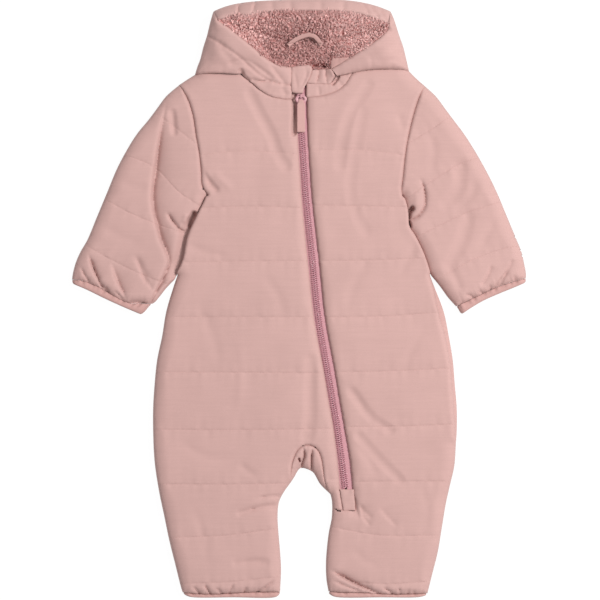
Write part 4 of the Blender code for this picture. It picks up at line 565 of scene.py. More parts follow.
def nearest_on(points: Points, path: Points) -> Nearest:
    """Finds the nearest place on a path for each plan point.

    Args:
        points: plan points.
        path: points of two or three values in order.

    Returns:
        Distances and places along the path.
    """
    points = np.asarray(points, float)[:, :2]
    best = np.full(len(points), np.inf)
    run, side, value, foot = np.zeros(len(points)), np.ones(len(points)), np.zeros(len(points)), points.copy()
    lengths = run_of(path)
    for i, (start, finish) in enumerate(zip(path[:-1], path[1:])):
        along = finish[:2] - start[:2]
        share = np.clip(((points - start[:2]) @ along) / max(along @ along, 1e-9), 0.0, 1.0)
        place = start[:2] + share[:, None] * along
        gap = ((points - place) ** 2).sum(axis=1)
        closer = np.nonzero(gap < best)[0]
        best[closer] = gap[closer]
        run[closer] = lengths[i] + share[closer] * (lengths[i + 1] - lengths[i])
        offset = points[closer] - place[closer]
        side[closer] = np.where(along[0] * offset[:, 1] - along[1] * offset[:, 0] < 0, -1.0, 1.0)
        foot[closer] = place[closer]
        if path.shape[1] > 2:
            value[closer] = start[2] + share[closer] * (finish[2] - start[2])
    return Nearest(np.sqrt(best), run, side, value, foot, float(lengths[-1]))


def is_inside(points: Points, loop: Points) -> np.ndarray:
    """Whether each plan point lies inside a closed loop."""
    inside = np.zeros(len(points), bool)
    for (ax, ay), (bx, by) in zip(loop, np.roll(loop, -1, axis=0)):
        if ay != by:
            crosses = (ay > points[:, 1]) != (by > points[:, 1])
            inside ^= crosses & (points[:, 0] < (bx - ax) * (points[:, 1] - ay) / (by - ay) + ax)
    return inside


def within(distance: np.ndarray, reach: float) -> np.ndarray:
    """0 at no distance, rising evenly to 1 at the reach."""
    return np.clip(distance / reach, 0.0, 1.0)


def rolled(distance: np.ndarray, reach: float) -> np.ndarray:
    """1 at an edge or a stitched line, rounded off to 0 at the reach as padding is."""
    return 1.0 - np.sqrt(1.0 - (1.0 - within(distance, reach)) ** 2)


def pinched(distance: np.ndarray, reach: float) -> np.ndarray:
    """1 at a seam, drawn up steeply to 0 at the reach."""
    return (1.0 - within(distance, reach)) ** 2


def fading(distance: np.ndarray, reach: float) -> np.ndarray:
    """1 at no distance, fading away over the reach."""
    return np.exp(-distance / reach)


def bell(offset: np.ndarray, width: float) -> np.ndarray:
    """1 at no offset, with a soft fall to both sides."""
    return np.exp(-((offset / width) ** 2))


def gap_to(points: Points, paths: Sequence[Points]) -> np.ndarray:
    """Distance from plan points to the nearest of some paths."""
    return np.minimum.reduce([nearest_on(points, path).gap for path in paths])


def directions(count: int) -> list[Points]:
    """Unit vectors spread evenly round the plan."""
    turns = np.linspace(0.0, math.tau, count + 1)[:-1]
    return [np.array([math.cos(turn), math.sin(turn)]) for turn in turns]


def place_at(path: Points, run: np.ndarray) -> Points:
    """Plan places at some distances run along a path."""
    return np.column_stack([np.interp(run, run_of(path), path[:, k]) for k in (0, 1)])


def blended(first: np.ndarray, second: np.ndarray, power: float = 3.0) -> np.ndarray:
    """The larger of two drops, rounded where they meet."""
    return (first**power + second**power) ** (1.0 / power)


def drift(points: Points, size: float, seed: int) -> np.ndarray:
    """Gentle unevenness between about -1 and 1, with features of the given size."""
    random = np.random.default_rng(seed)
    total = np.zeros(len(points))
    for _ in range(10):
        turn = random.uniform(0.0, math.tau)
        wave = size * random.uniform(0.7, 1.7)
        phase = random.uniform(0.0, math.tau)
        along = points[:, 0] * math.cos(turn) + points[:, 1] * math.sin(turn)
        total += np.sin(along * math.tau / wave + phase)
    return total / 4.5


def ripple(run: np.ndarray, pitch: float, seed: int) -> np.ndarray:
    """Uneven waves along a seam, between about -1 and 1."""
    random = np.random.default_rng(seed)
    total = np.zeros(len(run))
    for stretch in (1.0, 1.37, 0.73, 2.1):
        total += np.sin(run * math.tau / (pitch * stretch) + random.uniform(0.0, math.tau))
    return total / 2.6


# ---------------------------------------------------------------------- outlines and height laws
@dataclass(frozen=True)
class Pucker:
    """One size of the ripples that stitching leaves on both sides of a line of quilting."""

    height: float
    fade: float          # distance from the line over which they die away
    offset: float        # how far they are shifted along the line from one side to the other, halved
    pitch: float


PUCKERS = (
    Pucker(height=0.30, fade=9.0, offset=4.0, pitch=15.0),
    Pucker(height=0.20, fade=2.6, offset=2.0, pitch=5.0),
)


@dataclass(frozen=True)
class EdgeForm:
    """How the outer face of a wall comes down to one kind of edge."""

    fall: float          # depth below the crest at the edge
    reach: float         # distance over which it falls
    rounded: bool        # rolled over like a fold, or drawn down like a seam
    tuck: float = 0.0    # depth of the narrow roll into a stitched seam
    pucker: float = 0.0  # height of the ripples along it
    pitch: float = 9.0   # length of those ripples

    def fallen(self, gap: np.ndarray) -> np.ndarray:
        """Depth below the crest at a distance from the edge."""
        return self.fall * (rolled if self.rounded else pinched)(gap, self.reach)


EDGE_FORMS = {
    "side": EdgeForm(fall=8.9, reach=17.0, rounded=True, pucker=0.25),
    "fold": EdgeForm(fall=9.8, reach=17.0, rounded=True, pucker=0.25),
    "roll": EdgeForm(fall=9.8, reach=6.0, rounded=True, pucker=0.25),
    "seam": EdgeForm(fall=1.7, reach=5.0, rounded=False, tuck=1.5, pucker=0.35, pitch=7.0),
    "lap": EdgeForm(fall=2.4, reach=3.0, rounded=True, pucker=0.25),
    "turned": EdgeForm(fall=4.6, reach=7.0, rounded=True, pucker=0.25),
    "zip": EdgeForm(fall=5.4, reach=12.0, rounded=True, pucker=0.15),
    "hem": EdgeForm(fall=4.2, reach=10.0, rounded=False, tuck=0.8, pucker=0.7, pitch=5.5),
    "hidden": EdgeForm(fall=2.0, reach=6.0, rounded=False, tuck=1.0),
}
HOOD_SEAM = EdgeForm(fall=1.5, reach=3.0, rounded=False, pucker=0.4, pitch=8.0)
HOOD_EDGE_FORMS = {
    "seam": HOOD_SEAM,
    "hidden": HOOD_SEAM,
    "rim": EdgeForm(fall=2.6, reach=4.5, rounded=True, pucker=0.4, pitch=13.0),
    "crown": EdgeForm(fall=1.6, reach=4.5, rounded=True),
    "joined": EdgeForm(fall=0.0, reach=1.0, rounded=True),
}


class Outline:
    """A cut's plan outline: stretches of seam in order, counter-clockwise, each with a kind of edge."""

    def __init__(self, *stretches: tuple[str, Points]) -> None:
        """Joins the stretches into a loop."""
        self.paths = [(kind, np.asarray(path, float)[:, :2]) for kind, path in stretches]
        self.loop = np.vstack([path[:-1] for _, path in self.paths])
        self.kinds = [kind for kind, path in self.paths for _ in path[:-1]]

    def ring(self) -> Points:
        """The loop with its first point repeated at the end."""
        return np.vstack([self.loop, self.loop[:1]])

    def corners(self) -> list[Points]:
        """Places where the outline turns sharply."""
        before = self.loop - np.roll(self.loop, 1, axis=0)
        after = np.roll(self.loop, -1, axis=0) - self.loop
        cross = before[:, 0] * after[:, 1] - before[:, 1] * after[:, 0]
        turn = np.arctan2(cross, (before * after).sum(axis=1))
        return [self.loop[i] for i in np.nonzero(np.abs(turn) > math.radians(28.0))[0]]

    def area(self) -> float:
        """Plan area in square millimetres."""
        x, y = self.loop.T
        return abs(float(np.sum(x * np.roll(y, -1) - np.roll(x, -1) * y))) / 2.0

    def size(self) -> Points:
        """Width and length of the plan."""
        return self.loop.max(axis=0) - self.loop.min(axis=0)

    def gap(self, points: Points) -> np.ndarray:
        """Distance from plan points to the outline."""
        return nearest_on(points, self.ring()).gap


def lines_of(piece: str) -> list[Points]:
    """The quilting lines of a piece."""
    return [spline(knots, 3.0) for knots in QUILTING.get(piece, ())]


def folded_in(points: Points, piece: str) -> np.ndarray:
    """Depth of a piece's large folds over its plan points."""
    depth_here = np.zeros(len(points))
    for depth, half_width, knots in FOLDS.get(piece, ()):
        near = nearest_on(points, spline(knots, 5.0))
        if depth < SHARP_FOLD or piece == "hood_lining":
            shape = (1.0 - within(near.gap, half_width) ** 2) ** 2
        else:
            shape = valley(near, half_width) * tapered(near, 0.22)
        depth_here = np.maximum(depth_here, depth * shape)
    return depth_here


def tapered(near: Nearest, ends: float = 0.3) -> np.ndarray:
    """1 along the middle of a crease, easing to 0 at both of its ends."""
    share = near.run / max(near.length, 1e-6)
    rise = np.clip(np.minimum(share, 1.0 - share) / ends, 0.0, 1.0)
    return rise * rise * (3.0 - 2.0 * rise)


def valley(near: Nearest, width: float) -> np.ndarray:
    """A sharp fold's depth: wide on the left of its run, nearly upright on its right."""
    flank = np.where(near.side > 0, width, np.maximum(0.14 * width, 0.8))
    return (fading(near.gap, flank) + 0.35 * fading(near.gap, 1.3)) / 1.2


def pitted(points: Points, piece: str) -> np.ndarray:
    """1 in the holes between a piece's folds, 0 away from them."""
    share = np.zeros(len(points))
    for form, _, width, knots in CREASES.get(piece, ()):
        if form is PIT:
            share = np.maximum(share, np.exp(-((nearest_on(points, spline(knots, 2.0)).gap / width) ** 4)))
    return share


def creased(points: Points, piece: str) -> np.ndarray:
    """Height that a piece's smaller creases add over its plan points."""
    total = np.zeros(len(points))
    for form, depth, width, knots in CREASES.get(piece, ()):
        path = spline(knots, 2.0)
        low, high = path.min(axis=0) - 4 * width, path.max(axis=0) + 4 * width
        where = np.nonzero(((points >= low) & (points <= high)).all(axis=1))[0]
        if not len(where):
            continue
        near = nearest_on(points[where], path)
        ease = tapered(near)
        if form is TROUGH:
            total[where] -= depth * ease * bell(near.gap, 0.6 * width)
        elif form is RIDGE:
            total[where] += depth * ease * bell(near.gap, 0.6 * width)
        elif form is PIT:
            total[where] -= depth * np.exp(-((near.gap / width) ** 4))
        elif form is VALLEY:
            total[where] -= depth * ease * valley(near, width)
        else:
            lean = near.side * np.tanh(near.gap / 1.1) * fading(near.gap, width)
            total[where] += 0.62 * depth * ease * lean
    return total


@dataclass
class PaddedLaw:
    """Height of a quilted outer face: crest, rolled edges, stitched lines, creases and unevenness."""

    piece: str
    outline: Outline
    crest: float
    lowest: float
    sink: float = 0.0        # how much lower its holes reach
    seed: int = 1
    unevenness: float = 0.45

    def __call__(self, points: Points) -> np.ndarray:
        """Height over plan points."""
        drop = np.zeros(len(points))
        waves = np.zeros(len(points))
        for index, (kind, path) in enumerate(self.outline.paths):
            form = EDGE_FORMS[kind]
            near = nearest_on(points, path)
            drop = blended(drop, form.fallen(near.gap) + form.tuck * pinched(near.gap, TUCK_REACH))
            fade = fading(near.gap, 5.0) * within(near.gap, 1.5)
            waves += form.pucker * fade * ripple(near.run, form.pitch, 100 * self.seed + index)
        for index, line in enumerate(lines_of(self.piece)):
            near = nearest_on(points, line)
            drop = blended(drop, QUILT_FALL * rolled(near.gap, QUILT_REACH))
            rise = within(near.gap, 1.2)
            for extra, pucker in enumerate(PUCKERS):
                seed = 300 + 10 * self.seed + index + 5 * extra
                waves += (pucker.height * fading(near.gap, pucker.fade) * rise
                          * ripple(near.run + pucker.offset * near.side, pucker.pitch, seed))
            waves -= STITCH_DENT * bell(near.gap, 0.9)
        far = within(self.outline.gap(points), 12.0)
        broad, fine = drift(points, 95.0, self.seed), drift(points, 38.0, self.seed + 50)
        loose = self.unevenness * (broad + 0.45 * fine)
        height = self.crest - drop - folded_in(points, self.piece) + creased(points, self.piece) + waves
        return np.maximum(height + loose * far, self.lowest - self.sink * pitted(points, self.piece))


# ---------------------------------------------------------------------- cloth meshes
@dataclass
class PlanGrid:
    """A grid of cloth trimmed to a plan outline, with rows that follow the quilting.

    The grid's edge points lie on the outline.
    """

    outline: Outline
    pitch: float = 2.0
    turn: float = 0.0
    lines: Sequence[Points] = ()

    def turned(self, points: Points, angle: float) -> Points:
        """Plan points turned about the origin."""
        c, s = math.cos(math.radians(angle)), math.sin(math.radians(angle))
        return points @ np.array([[c, s], [-s, c]])

    def build(self) -> bmesh.types.BMesh:
        """Makes the trimmed grid, flat at height 0, in millimetres.

        Returns:
            The mesh, with its faces up.
        """
        loop = self.turned(self.outline.loop, -self.turn)
        low, high = loop.min(axis=0) - self.pitch, loop.max(axis=0) + self.pitch
        columns = int(math.ceil((high[0] - low[0]) / self.pitch))
        across = np.linspace(low[0], high[0], columns + 1)
        levels = [np.full(columns + 1, low[1])]
        turned = [self.turned(path, -self.turn) for path in self.lines]
        for line in sorted(turned, key=lambda path: path[:, 1].mean()):
            line = line[np.argsort(line[:, 0])]
            if line[-1, 0] - line[0, 0] > 0.4 * (high[0] - low[0]):
                levels.append(np.interp(across, line[:, 0], line[:, 1]))
        levels.append(np.full(columns + 1, high[1]))
        section, share = [], []
        for index, (under, over) in enumerate(zip(levels, levels[1:])):
            count = max(2, int(round(float((over - under).mean()) / self.pitch)))
            t = np.linspace(0.0, 1.0, count + 1)[:-1]
            first, last = index > 0, index < len(levels) - 2
            if first and last:
                t = t - 0.5 * np.sin(math.tau * t) / math.tau
            section += [index] * count
            share += list(t)
        section.append(len(levels) - 2)
        share.append(1.0)
        rows = len(share) - 1
        mesh = bmesh.new()
        bmesh.ops.create_grid(mesh, x_segments=columns, y_segments=rows, size=0.5)
        unit = np.array([vert.co[:2] for vert in mesh.verts])
        column = np.rint((unit[:, 0] + 0.5) * columns).astype(int)
        row = np.rint((unit[:, 1] + 0.5) * rows).astype(int)
        levels, section, share = np.array(levels), np.array(section), np.array(share)
        under, over = levels[section[row], column], levels[section[row] + 1, column]
        local = np.column_stack([across[column], under + (over - under) * share[row]])
        step_up = (over - under) / np.bincount(section)[section[row]]
        plan = self.turned(local, self.turn)
        near = nearest_on(plan, self.outline.ring())
        inside = is_inside(plan, self.outline.loop)
        signed = np.where(inside, near.gap, -near.gap)
        toward = self.turned(near.foot - plan, -self.turn)
        toward /= np.maximum(np.linalg.norm(toward, axis=1), 1e-9)[:, None]
        limit = 0.5 * np.hypot(toward[:, 0] * (across[1] - across[0]), toward[:, 1] * step_up)
        snapped = np.abs(signed) < limit
        plan[snapped] = near.foot[snapped]
        mesh.verts.ensure_lookup_table()
        for vert, (x, y), held in zip(mesh.verts, plan, snapped):
            vert.co = (x, y, 0.0)
            vert.tag = bool(held)
        edge_points = [vert for vert in mesh.verts if vert.tag]
        outside = [mesh.verts[i] for i in np.nonzero(~inside & ~snapped)[0]]
        bmesh.ops.connect_verts(mesh, verts=edge_points)
        bmesh.ops.delete(mesh, geom=outside, context="VERTS")
        rim = [face for face in mesh.faces if all(vert.tag for vert in face.verts)]
        if rim:
            centres = np.array([face.calc_center_median()[:2] for face in rim])
            kept = is_inside(centres, self.outline.loop)
            bmesh.ops.delete(mesh, geom=[face for face, keep in zip(rim, kept) if not keep], context="FACES")
        loose = [vert for vert in mesh.verts if not vert.link_faces]
        bmesh.ops.delete(mesh, geom=loose, context="VERTS")
        self.set_corners(mesh)
        near_rim = [vert for vert in mesh.verts if not vert.is_boundary
                    and any(edge.other_vert(vert).is_boundary for edge in vert.link_edges)]
        for _ in range(2):
            bmesh.ops.smooth_vert(mesh, verts=near_rim, factor=0.5, use_axis_x=True, use_axis_y=True)
        bmesh.ops.triangulate(mesh, faces=[face for face in mesh.faces if len(face.verts) > 4])
        return mesh

    def set_corners(self, mesh: bmesh.types.BMesh) -> None:
        """Moves the nearest edge point of the grid onto each sharp corner of the outline."""
        rim = [vert for vert in mesh.verts if vert.is_boundary]
        places = np.array([vert.co[:2] for vert in rim])
        for corner in self.outline.corners():
            gaps = np.linalg.norm(places - corner, axis=1)
            index = int(gaps.argmin())
            if gaps[index] < 1.6 * self.pitch:
                rim[index].co = (*corner, 0.0)


def set_heights(mesh: bmesh.types.BMesh, law: HeightLaw) -> None:
    """Raises all of a mesh's points by a height law."""
    plan = np.array([vert.co[:2] for vert in mesh.verts])
    for vert, height in zip(mesh.verts, law(plan)):
        vert.co.z = float(height)


def add_skirt(mesh: bmesh.types.BMesh, floor: HeightLaw, rings: int = 2) -> None:
    """Turns a cut's free edges down to a floor.

    Args:
        mesh: the raised cut.
        floor: height law of the floor.
        rings: how many rows of faces it takes.
    """
    rim = [edge for edge in mesh.edges if edge.is_boundary]
    for left in range(rings, 0, -1):
        drawn = bmesh.ops.extrude_edge_only(mesh, edges=rim)["geom"]
        verts = [part for part in drawn if isinstance(part, bmesh.types.BMVert)]
        rim = [part for part in drawn if isinstance(part, bmesh.types.BMEdge) and part.is_boundary]
        low = floor(np.array([vert.co[:2] for vert in verts]))
        for vert, base in zip(verts, low):
            vert.co.z += (min(float(base), vert.co.z) - vert.co.z) / left


def join_sheets(mesh: bmesh.types.BMesh, paths: Sequence[Points], height: float) -> None:
    """Brings the free edges of two sheets together along some paths and joins them there.

    Args:
        mesh: both sheets.
        paths: plan paths of the folds.
        height: where the sheets meet.
    """
    rim = [vert for vert in mesh.verts if vert.is_boundary]
    plan = np.array([vert.co[:2] for vert in rim])
    for vert, gap in zip(rim, gap_to(plan, paths)):
        if gap < JOIN_REACH:
            vert.co.z = height
    bmesh.ops.remove_doubles(mesh, verts=mesh.verts, dist=SAME_PLACE)


def level(height: float) -> HeightLaw:
    """A height law that is the same everywhere."""
    return lambda points: np.full(len(points), float(height))


def add_underside(mesh: bmesh.types.BMesh, law: HeightLaw) -> None:
    """Closes a raised cut with a second sheet below it, joined where the two meet.

    Args:
        mesh: the raised upper sheet.
        law: height law of the lower sheet.
    """
    upper = mesh.faces[:]
    copied = bmesh.ops.duplicate(mesh, geom=mesh.verts[:] + mesh.edges[:] + upper)["geom"]
    faces = [part for part in copied if isinstance(part, bmesh.types.BMFace)]
    verts = [part for part in copied if isinstance(part, bmesh.types.BMVert)]
    bmesh.ops.reverse_faces(mesh, faces=faces)
    plan = np.array([vert.co[:2] for vert in verts])
    for vert, height in zip(verts, law(plan)):
        vert.co.z = float(height)


class Suit:
    """Shared making of finished pieces: from a mesh in millimetres to an object that rides on a body."""

    shared: dict[str, bpy.types.Material] = {}

    @staticmethod
    def place(name: str, data: bpy.types.Mesh, material: bpy.types.Material, slot: str,
              body: str = "suit") -> bpy.types.Object:
        """Puts a mesh in the scene as a piece that rides on a body.

        Args:
            name: the piece.
            data: its mesh in metres.
            material: its finish.
            slot: the material slot that it takes its finish from; not used.
            body: what it rides on.

        Returns:
            The object, at the origin.
        """
        data.materials.append(material)
        piece = bpy.data.objects.new(name, data)
        bpy.context.scene.collection.objects.link(piece)
        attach(piece, body)
        return piece

    @staticmethod
    def finish(name: str, mesh: bmesh.types.BMesh, material: bpy.types.Material, slot: str,
               nodes: Sequence[str], body: str = "suit", sharp: float = 60.0) -> bpy.types.Object:
        """Makes the object of a piece.

        Args:
            name: the piece.
            mesh: its mesh in millimetres, which is freed.
            material: its finish.
            slot: the material slot that it takes its finish from; not used.
            nodes: the solids that it stands for.
            body: what it rides on.
            sharp: angle in degrees past which an edge stays crisp.

        Returns:
            The object, at the origin.
        """
        bmesh.ops.scale(mesh, vec=(MM, MM, MM), verts=mesh.verts)
        data = bpy.data.meshes.new(name)
        mesh.to_mesh(data)
        mesh.free()
        data.shade_smooth()
        data.set_sharp_from_angle(angle=math.radians(sharp))
        piece = Suit.place(name, data, material, slot, body)
        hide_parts(*nodes)
        triangles = sum(len(polygon.vertices) - 2 for polygon in data.polygons)
        LOG.info("%s: %d triangles", name, triangles)
        return piece

    @staticmethod
    def declare(piece: bpy.types.Object, outline: Outline, rests_on: Sequence[str], layers: int = 1,
                ease: float = 1.04, allowance: float = 0.0) -> None:
        """Works out the plan width, length and area of a cut of cloth laid out flat; nothing is kept.

        Args:
            piece: the cloth; not used.
            outline: its plan.
            rests_on: what it lies on; not used.
            layers: 2 for a tube, whose cut is all round; not used.
            ease: length that goes into quilting and folds.
            allowance: width of the edge that is turned down into the seams, millimetres.
        """
        width, length = (outline.size() * ease + 2.0 * allowance) * MM
        area = (outline.area() * ease * ease + run_of(outline.ring())[-1] * allowance) * MM**2
        if area < 0.35 * width * length:
            width = max(1.5 * area / length, NARROWEST)


def tubes(name: str, rows: Sequence[Points], radius: float, taper: Sequence[float] = ()) -> bpy.types.Mesh:
    """Makes thin square rods along rows of points.

    Args:
        name: the mesh.
        rows: the points of each rod, in millimetres.
        radius: radius of the rods in millimetres.
        taper: share of the radius at each point of a rod, all of it where this is left out.

    Returns:
        The mesh in metres, smooth and without a finish.
    """
    curve = bpy.data.curves.new(name, "CURVE")
    curve.dimensions = "3D"
    curve.bevel_depth = radius * MM
    curve.bevel_resolution = 0
    for row in rows:
        rod = curve.splines.new("POLY")
        rod.points.add(len(row) - 1)
        rod.points.foreach_set("co", np.hstack([row * MM, np.ones((len(row), 1))]).ravel())
        if len(taper):
            rod.points.foreach_set("radius", taper)
    holder = bpy.data.objects.new(name + "_path", curve)
    data = bpy.data.meshes.new_from_object(holder)
    bpy.data.objects.remove(holder)
    bpy.data.curves.remove(curve)
    data.name = name
    data.shade_smooth()
    data.materials.clear()
    return data


# ---------------------------------------------------------------------- finishes
class Nodes:
    """A material whose nodes are being wired."""

    def __init__(self, name: str) -> None:
        """Starts from a plain shader."""
        self.material = bpy.data.materials.new(name)
        self.material.use_nodes = True
        self.tree = self.material.node_tree
        self.shader = self.tree.nodes["Principled BSDF"]
        self.place = self.add("ShaderNodeTexCoord").outputs["Object"]

    def add(self, kind: str, **values: object) -> bpy.types.Node:
        """Adds a node and sets its properties and unlinked inputs by name."""
        node = self.tree.nodes.new(kind)
        for key, value in values.items():
            if hasattr(node, key):
                setattr(node, key, value)
            else:
                node.inputs[key.replace("_", " ")].default_value = value
        return node

    def link(self, source: bpy.types.NodeSocket, target: bpy.types.NodeSocket) -> None:
        """Wires two sockets."""
        self.tree.links.new(source, target)

    def noise(self, scale: Sequence[float], detail: float, roughness: float) -> bpy.types.NodeSocket:
        """A noise over object coordinates, with its own scale along each axis, per metre."""
        mapping = self.add("ShaderNodeMapping", Scale=tuple(scale))
        self.link(self.place, mapping.inputs["Vector"])
        noise = self.add("ShaderNodeTexNoise", Scale=1.0, Detail=detail, Roughness=roughness)
        self.link(mapping.outputs["Vector"], noise.inputs["Vector"])
        return noise.outputs["Fac"]

    def mottled(self, scale: Sequence[float], detail: float, roughness: float, least: float,
                most: float) -> bpy.types.NodeSocket:
        """A noise whose middle range is spread over least..most."""
        source = self.noise(scale, detail, roughness)
        node = self.add("ShaderNodeMapRange", From_Min=0.3, From_Max=0.7, To_Min=least, To_Max=most)
        self.link(source, node.inputs["Value"])
        return node.outputs["Result"]

    def math(self, operation: str, first: bpy.types.NodeSocket, second: object) -> bpy.types.NodeSocket:
        """A sum, product or other operation of a socket with a socket or number."""
        node = self.add("ShaderNodeMath", operation=operation)
        self.link(first, node.inputs[0])
        if isinstance(second, bpy.types.NodeSocket):
            self.link(second, node.inputs[1])
        else:
            node.inputs[1].default_value = second
        return node.outputs["Value"]

    def tinted(self, colour: Sequence[float], factor: bpy.types.NodeSocket) -> None:
        """Gives the shader a colour times a factor."""
        node = self.add("ShaderNodeVectorMath", operation="SCALE")
        node.inputs[0].default_value = tuple(colour)
        self.link(factor, node.inputs["Scale"])
        self.link(node.outputs["Vector"], self.shader.inputs["Base Color"])

    def bumped(self, height: bpy.types.NodeSocket, strength: float, distance: float) -> None:
        """Raises the shader's surface by a height."""
        bump = self.add("ShaderNodeBump", Strength=strength, Distance=distance)
        self.link(height, bump.inputs["Height"])
        self.link(bump.outputs["Normal"], self.shader.inputs["Normal"])

    def attribute(self, name: str) -> bpy.types.NodeSocket:
        """A value carried by the mesh's points."""
        return self.add("ShaderNodeAttribute", attribute_name=name).outputs["Fac"]

    def surface(self, **values: object) -> bpy.types.Material:
        """Sets inputs of the shader by name, and returns the finished material."""
        for key, value in values.items():
            self.shader.inputs[key.replace("_", " ")].default_value = value
        return self.material


@dataclass(frozen=True)
class ShellFabric:
    """Matte plain-woven polyester with faint streaks of uneven yarn and a soft sheen."""

    name: str = "shell_fabric"
    colour: tuple[float, float, float] = (0.476, 0.298, 0.279)
    roughness: float = 0.74
    sheen: float = 0.2
    streaks: float = 0.05
    weave: float = 0.12

    def material(self) -> bpy.types.Material:
        """Wires the finish."""
        nodes = Nodes(self.name)
        uneven = self.streaks / 2
        streak = nodes.mottled((28.0, 620.0, 28.0), 4.0, 0.6, 1.0 - uneven, 1.0 + uneven)
        mottle = nodes.mottled((16.0, 16.0, 16.0), 3.0, 0.55, 0.975, 1.025)
        grain = nodes.mottled((900.0, 1100.0, 900.0), 2.0, 0.6, 0.97, 1.03)
        tone = nodes.math("MULTIPLY", nodes.math("MULTIPLY", streak, mottle), grain)
        nodes.tinted(self.colour, tone)
        threads = []
        for way, scale in (("X", 320.0), ("Y", 360.0)):
            wave = nodes.add("ShaderNodeTexWave", bands_direction=way, Scale=scale, Distortion=0.6)
            nodes.link(nodes.place, wave.inputs["Vector"])
            threads.append(wave.outputs["Fac"])
        woven = nodes.math("ADD", *threads)
        yarn = nodes.math("MULTIPLY", nodes.noise((60.0, 480.0, 60.0), 4.0, 0.6), 0.7)
        nodes.bumped(nodes.math("ADD", woven, yarn), self.weave, 0.00016)
        return nodes.surface(Roughness=self.roughness, Specular_IOR_Level=0.28, Sheen_Weight=self.sheen,
                             Sheen_Roughness=0.45, Sheen_Tint=(0.95, 0.78, 0.74, 1.0))


@dataclass(frozen=True)
class PileFibre:
    """Deep curly pile: strands mixed from a dark root colour to a pale tip colour; the dark roots are painted
    shade down in the pile.
    """

    name: str = "pile_fibre"
    # painted shade: the dark root colour stands for the shade deep between the strands
    root: tuple[float, float, float] = (0.37, 0.118, 0.110)
    tip: tuple[float, float, float] = (0.91, 0.60, 0.575)

    def material(self) -> bpy.types.Material:
        """Wires the finish from the mesh's tone attribute."""
        nodes = Nodes(self.name)
        tone = nodes.attribute("tone")
        tone = nodes.math("ADD", tone, nodes.mottled((120.0, 120.0, 120.0), 2.0, 0.5, -0.06, 0.06))
        mix = nodes.add("ShaderNodeMix", data_type="RGBA")
        nodes.link(tone, mix.inputs["Factor"])
        for socket, colour in zip([s for s in mix.inputs if s.type == "RGBA"], (self.root, self.tip)):
            socket.default_value = (*colour, 1.0)
        output = [s for s in mix.outputs if s.type == "RGBA"][0]
        nodes.link(output, nodes.shader.inputs["Base Color"])
        return nodes.surface(Roughness=0.85, Sheen_Weight=0.35, Sheen_Roughness=0.5,
                             Sheen_Tint=(0.95, 0.72, 0.70, 1.0))


@dataclass(frozen=True)
class MouldedPlastic:
    """Glossy moulded resin of the teeth, or the slider's enamel, with faint unevenness."""

    name: str = "zip_teeth_resin"
    colour: tuple[float, float, float] = (0.43, 0.19, 0.228)
    roughness: float = 0.22

    def material(self) -> bpy.types.Material:
        """Wires the finish."""
        nodes = Nodes(self.name)
        nodes.tinted(self.colour, nodes.mottled((500.0, 500.0, 500.0), 2.0, 0.5, 0.93, 1.07))
        smooth, rough = self.roughness - 0.05, self.roughness + 0.08
        gloss = nodes.mottled((300.0, 300.0, 300.0), 2.0, 0.5, smooth, rough)
        nodes.link(gloss, nodes.shader.inputs["Roughness"])
        nodes.bumped(nodes.noise((1400.0, 1400.0, 1400.0), 2.0, 0.5), 0.06, 0.0001)
        return nodes.surface(Specular_IOR_Level=0.5)


@dataclass(frozen=True)
class PaleFloor:
    """White table lit from below, so that nothing on it casts a shadow."""

    name: str = "light_table"

    def material(self) -> bpy.types.Material:
        """Wires the finish."""
        nodes = Nodes(self.name)
        nodes.tinted((0.06, 0.06, 0.06), nodes.mottled((4.0, 4.0, 4.0), 2.0, 0.5, 0.995, 1.0))
        return nodes.surface(Roughness=0.9, Specular_IOR_Level=0.1, Emission_Color=(1.0, 1.0, 1.0, 1.0),
                             Emission_Strength=0.965)


class Finish(Enum):
    """The suit's finishes."""

    SHELL = ShellFabric()
    BINDING = ShellFabric(name="binding_fabric", colour=(0.47, 0.275, 0.256), streaks=0.02, weave=0.25)
    PULL = ShellFabric(name="pull_ribbon", colour=(0.515, 0.302, 0.284), streaks=0.02, weave=0.5)
    PILE = PileFibre()
    TAPE = ShellFabric(name="zip_tape_weave", colour=(0.50, 0.255, 0.288), streaks=0.02, weave=0.5,
                       roughness=0.7)
    TEETH = MouldedPlastic()
    SLIDER = MouldedPlastic(name="slider_enamel", colour=(0.50, 0.26, 0.29), roughness=0.36)
    THREAD = ShellFabric(name="sewing_thread", colour=(0.45, 0.262, 0.24), streaks=0.0, weave=0.0,
                         roughness=0.6)
    FLOOR = PaleFloor()

    def dress(self) -> bpy.types.Material:
        """The finish's material, made once."""
        if self.value.name not in Suit.shared:
            Suit.shared[self.value.name] = self.value.material()
        return Suit.shared[self.value.name]


